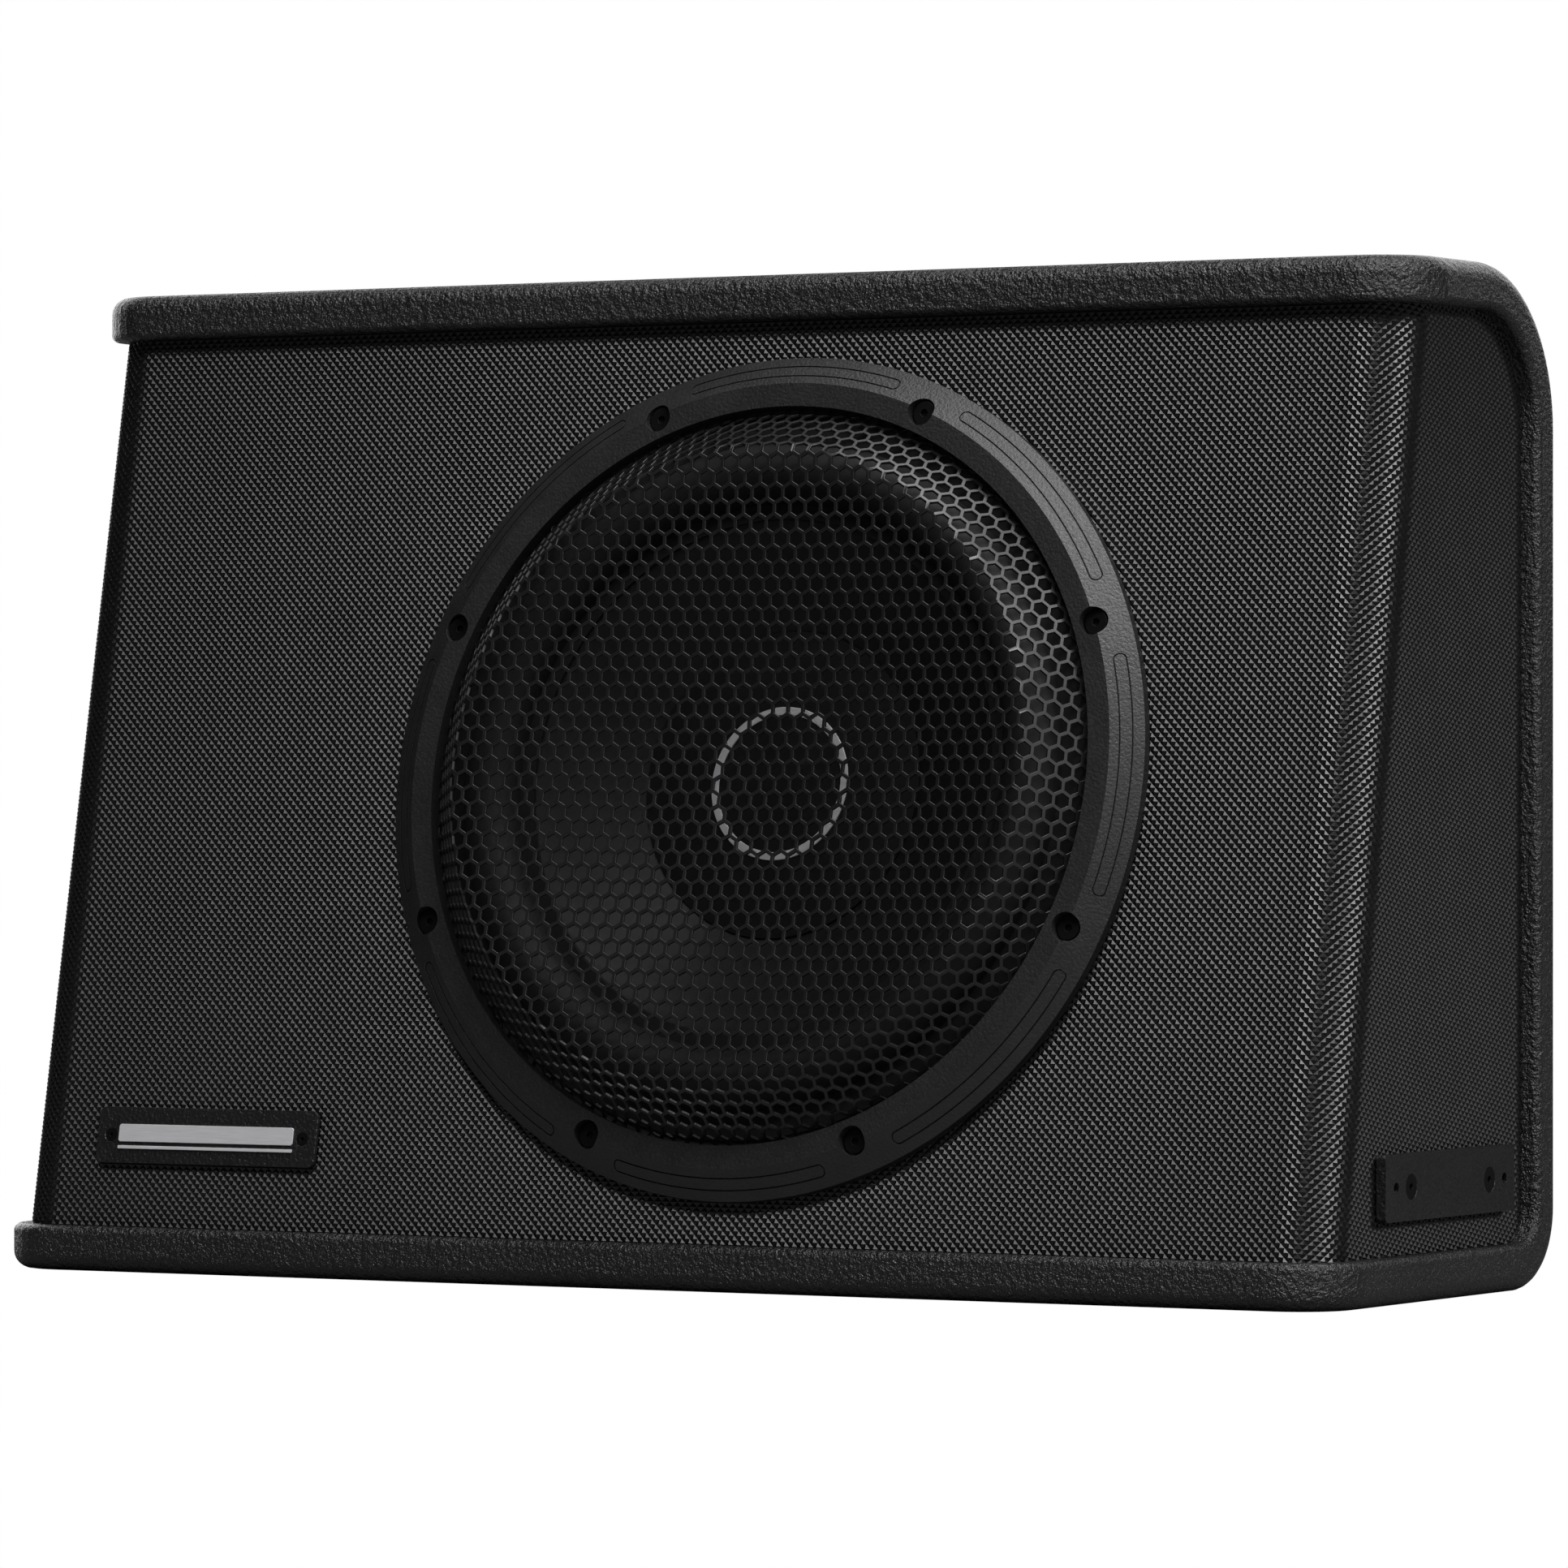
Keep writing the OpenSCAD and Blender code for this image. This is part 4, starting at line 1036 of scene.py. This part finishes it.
def finish_cad_nodes():
    """Rounds the edges of the CAD nodes that show, and gives every node its slot's material."""
    for node, width in EDGE_WIDTHS_MM.items():
        softened(node, width * MM)
    for node, obj in frame["nodes"].items():
        obj.data.materials.clear()
        obj.data.materials.append(material(SLOT_OF[node]))


# ---- camera, light and floor ----

# Name, place in metres, width and height in metres, watts
LIGHTS = (
    ("key", (0.3, -2.1, 3.4), (0.9, 0.9), 18),
    ("key_left", (-0.5, -2.1, 3.4), (0.7, 0.7), 3.8),
    ("between", (1.35, -1.9, 3.4), (1.3, 1.3), 20),
    ("side", (1.95, -0.95, 2.9), (1.4, 1.4), 56),
    ("right", (2.3, -0.6, 0.9), (1.2, 1.4), 5),
    ("front_right", (1.7, -2.7, 1.3), (1.0, 1.0), 5),
    ("overhead", (0.2, 0.1, 2.6), (1.7, 1.2), 26),
    ("end", (2.3, 1.4, 1.2), (1.0, 1.0), 4),
    ("rear", (-0.3, 2.6, 1.3), (1.6, 1.4), 14),
    ("left", (-2.3, 1.5, 0.9), (1.6, 1.6), 20),
)


def camera():
    """The photo's view: level, turned to the right of the front, from well back."""
    azimuth = math.radians(29.84)
    distance = 3.3168
    sidestep = 0.01027
    height = 0.19286
    data = bpy.data.cameras.new("camera")
    data.lens = 194.95
    data.sensor_width = 36
    data.clip_end = 50
    obj = bpy.data.objects.new("camera", data)
    bpy.context.scene.collection.objects.link(obj)
    obj.location = (distance * math.sin(azimuth) + sidestep * math.cos(azimuth),
                    -distance * math.cos(azimuth) + sidestep * math.sin(azimuth), height)
    obj.rotation_euler = (math.pi / 2, 0, azimuth)
    bpy.context.scene.camera = obj


def area_light(name, place, size, power):
    """A soft light that faces the middle of the enclosure."""
    data = bpy.data.lights.new(name, "AREA")
    data.shape = "RECTANGLE"
    data.size, data.size_y = size
    data.energy = power
    obj = bpy.data.objects.new(name, data)
    bpy.context.scene.collection.objects.link(obj)
    obj.location = place
    aim = Vector((0, 0, MIDDLE_Z)) - Vector(place)
    obj.rotation_euler = aim.to_track_quat("-Z", "Y").to_euler()


def show_white(tree, kind, plain, surface):
    """Makes a surface look plain white when it is seen directly, and light the scene by its own shader."""
    white = tree.nodes.new(kind)
    white.inputs["Color"].default_value = (1, 1, 1, 1)
    white.inputs["Strength"].default_value = 1.0
    path = tree.nodes.new("ShaderNodeLightPath")
    mix = tree.nodes.new("ShaderNodeMixShader")
    tree.links.new(path.outputs["Is Camera Ray"], mix.inputs["Fac"])
    tree.links.new(plain, mix.inputs[1])
    tree.links.new(white.outputs[0], mix.inputs[2])
    tree.links.new(mix.outputs[0], surface)


def studio():
    for light in LIGHTS:
        area_light(*light)
    world = bpy.data.worlds.new("studio")
    bpy.context.scene.world = world
    world.use_nodes = True
    tree = world.node_tree
    back = tree.nodes["Background"]
    back.inputs["Color"].default_value = (0.9, 0.9, 0.9, 1)
    back.inputs["Strength"].default_value = 0.02
    surface = tree.nodes["World Output"].inputs["Surface"]
    show_white(tree, "ShaderNodeBackground", back.outputs[0], surface)
    bpy.context.scene.view_settings.view_transform = "Standard"


def floor():
    """A round floor under the enclosure. It looks white, and throws little light back up."""
    bm = bmesh.new()
    bmesh.ops.create_circle(bm, cap_ends=True, segments=96, radius=6.0)
    mesh = bpy.data.meshes.new("floor")
    bm.to_mesh(mesh)
    bm.free()
    obj = bpy.data.objects.new("floor", mesh)
    bpy.context.scene.collection.objects.link(obj)
    obj.location.z = BOTTOM[0].z - 0.2 * MM
    n = Nodes("floor")
    n.color(n.noise(0.4), (0.13, 0.13, 0.13), (0.16, 0.16, 0.16))
    n.set(Roughness=0.9, Specular_IOR_Level=0.1)
    surface = n.tree.nodes["Material Output"].inputs["Surface"]
    show_white(n.tree, "ShaderNodeEmission", n.shader.outputs[0], surface)
    mesh.materials.append(n.material)


camera()
studio()
floor()
coated_shell()
embossed_wrap()
grille_ring()
grille_mesh()
cone()
dust_cap()
dust_cap_trim()
surround()
flexing_parts()
finish_cad_nodes()
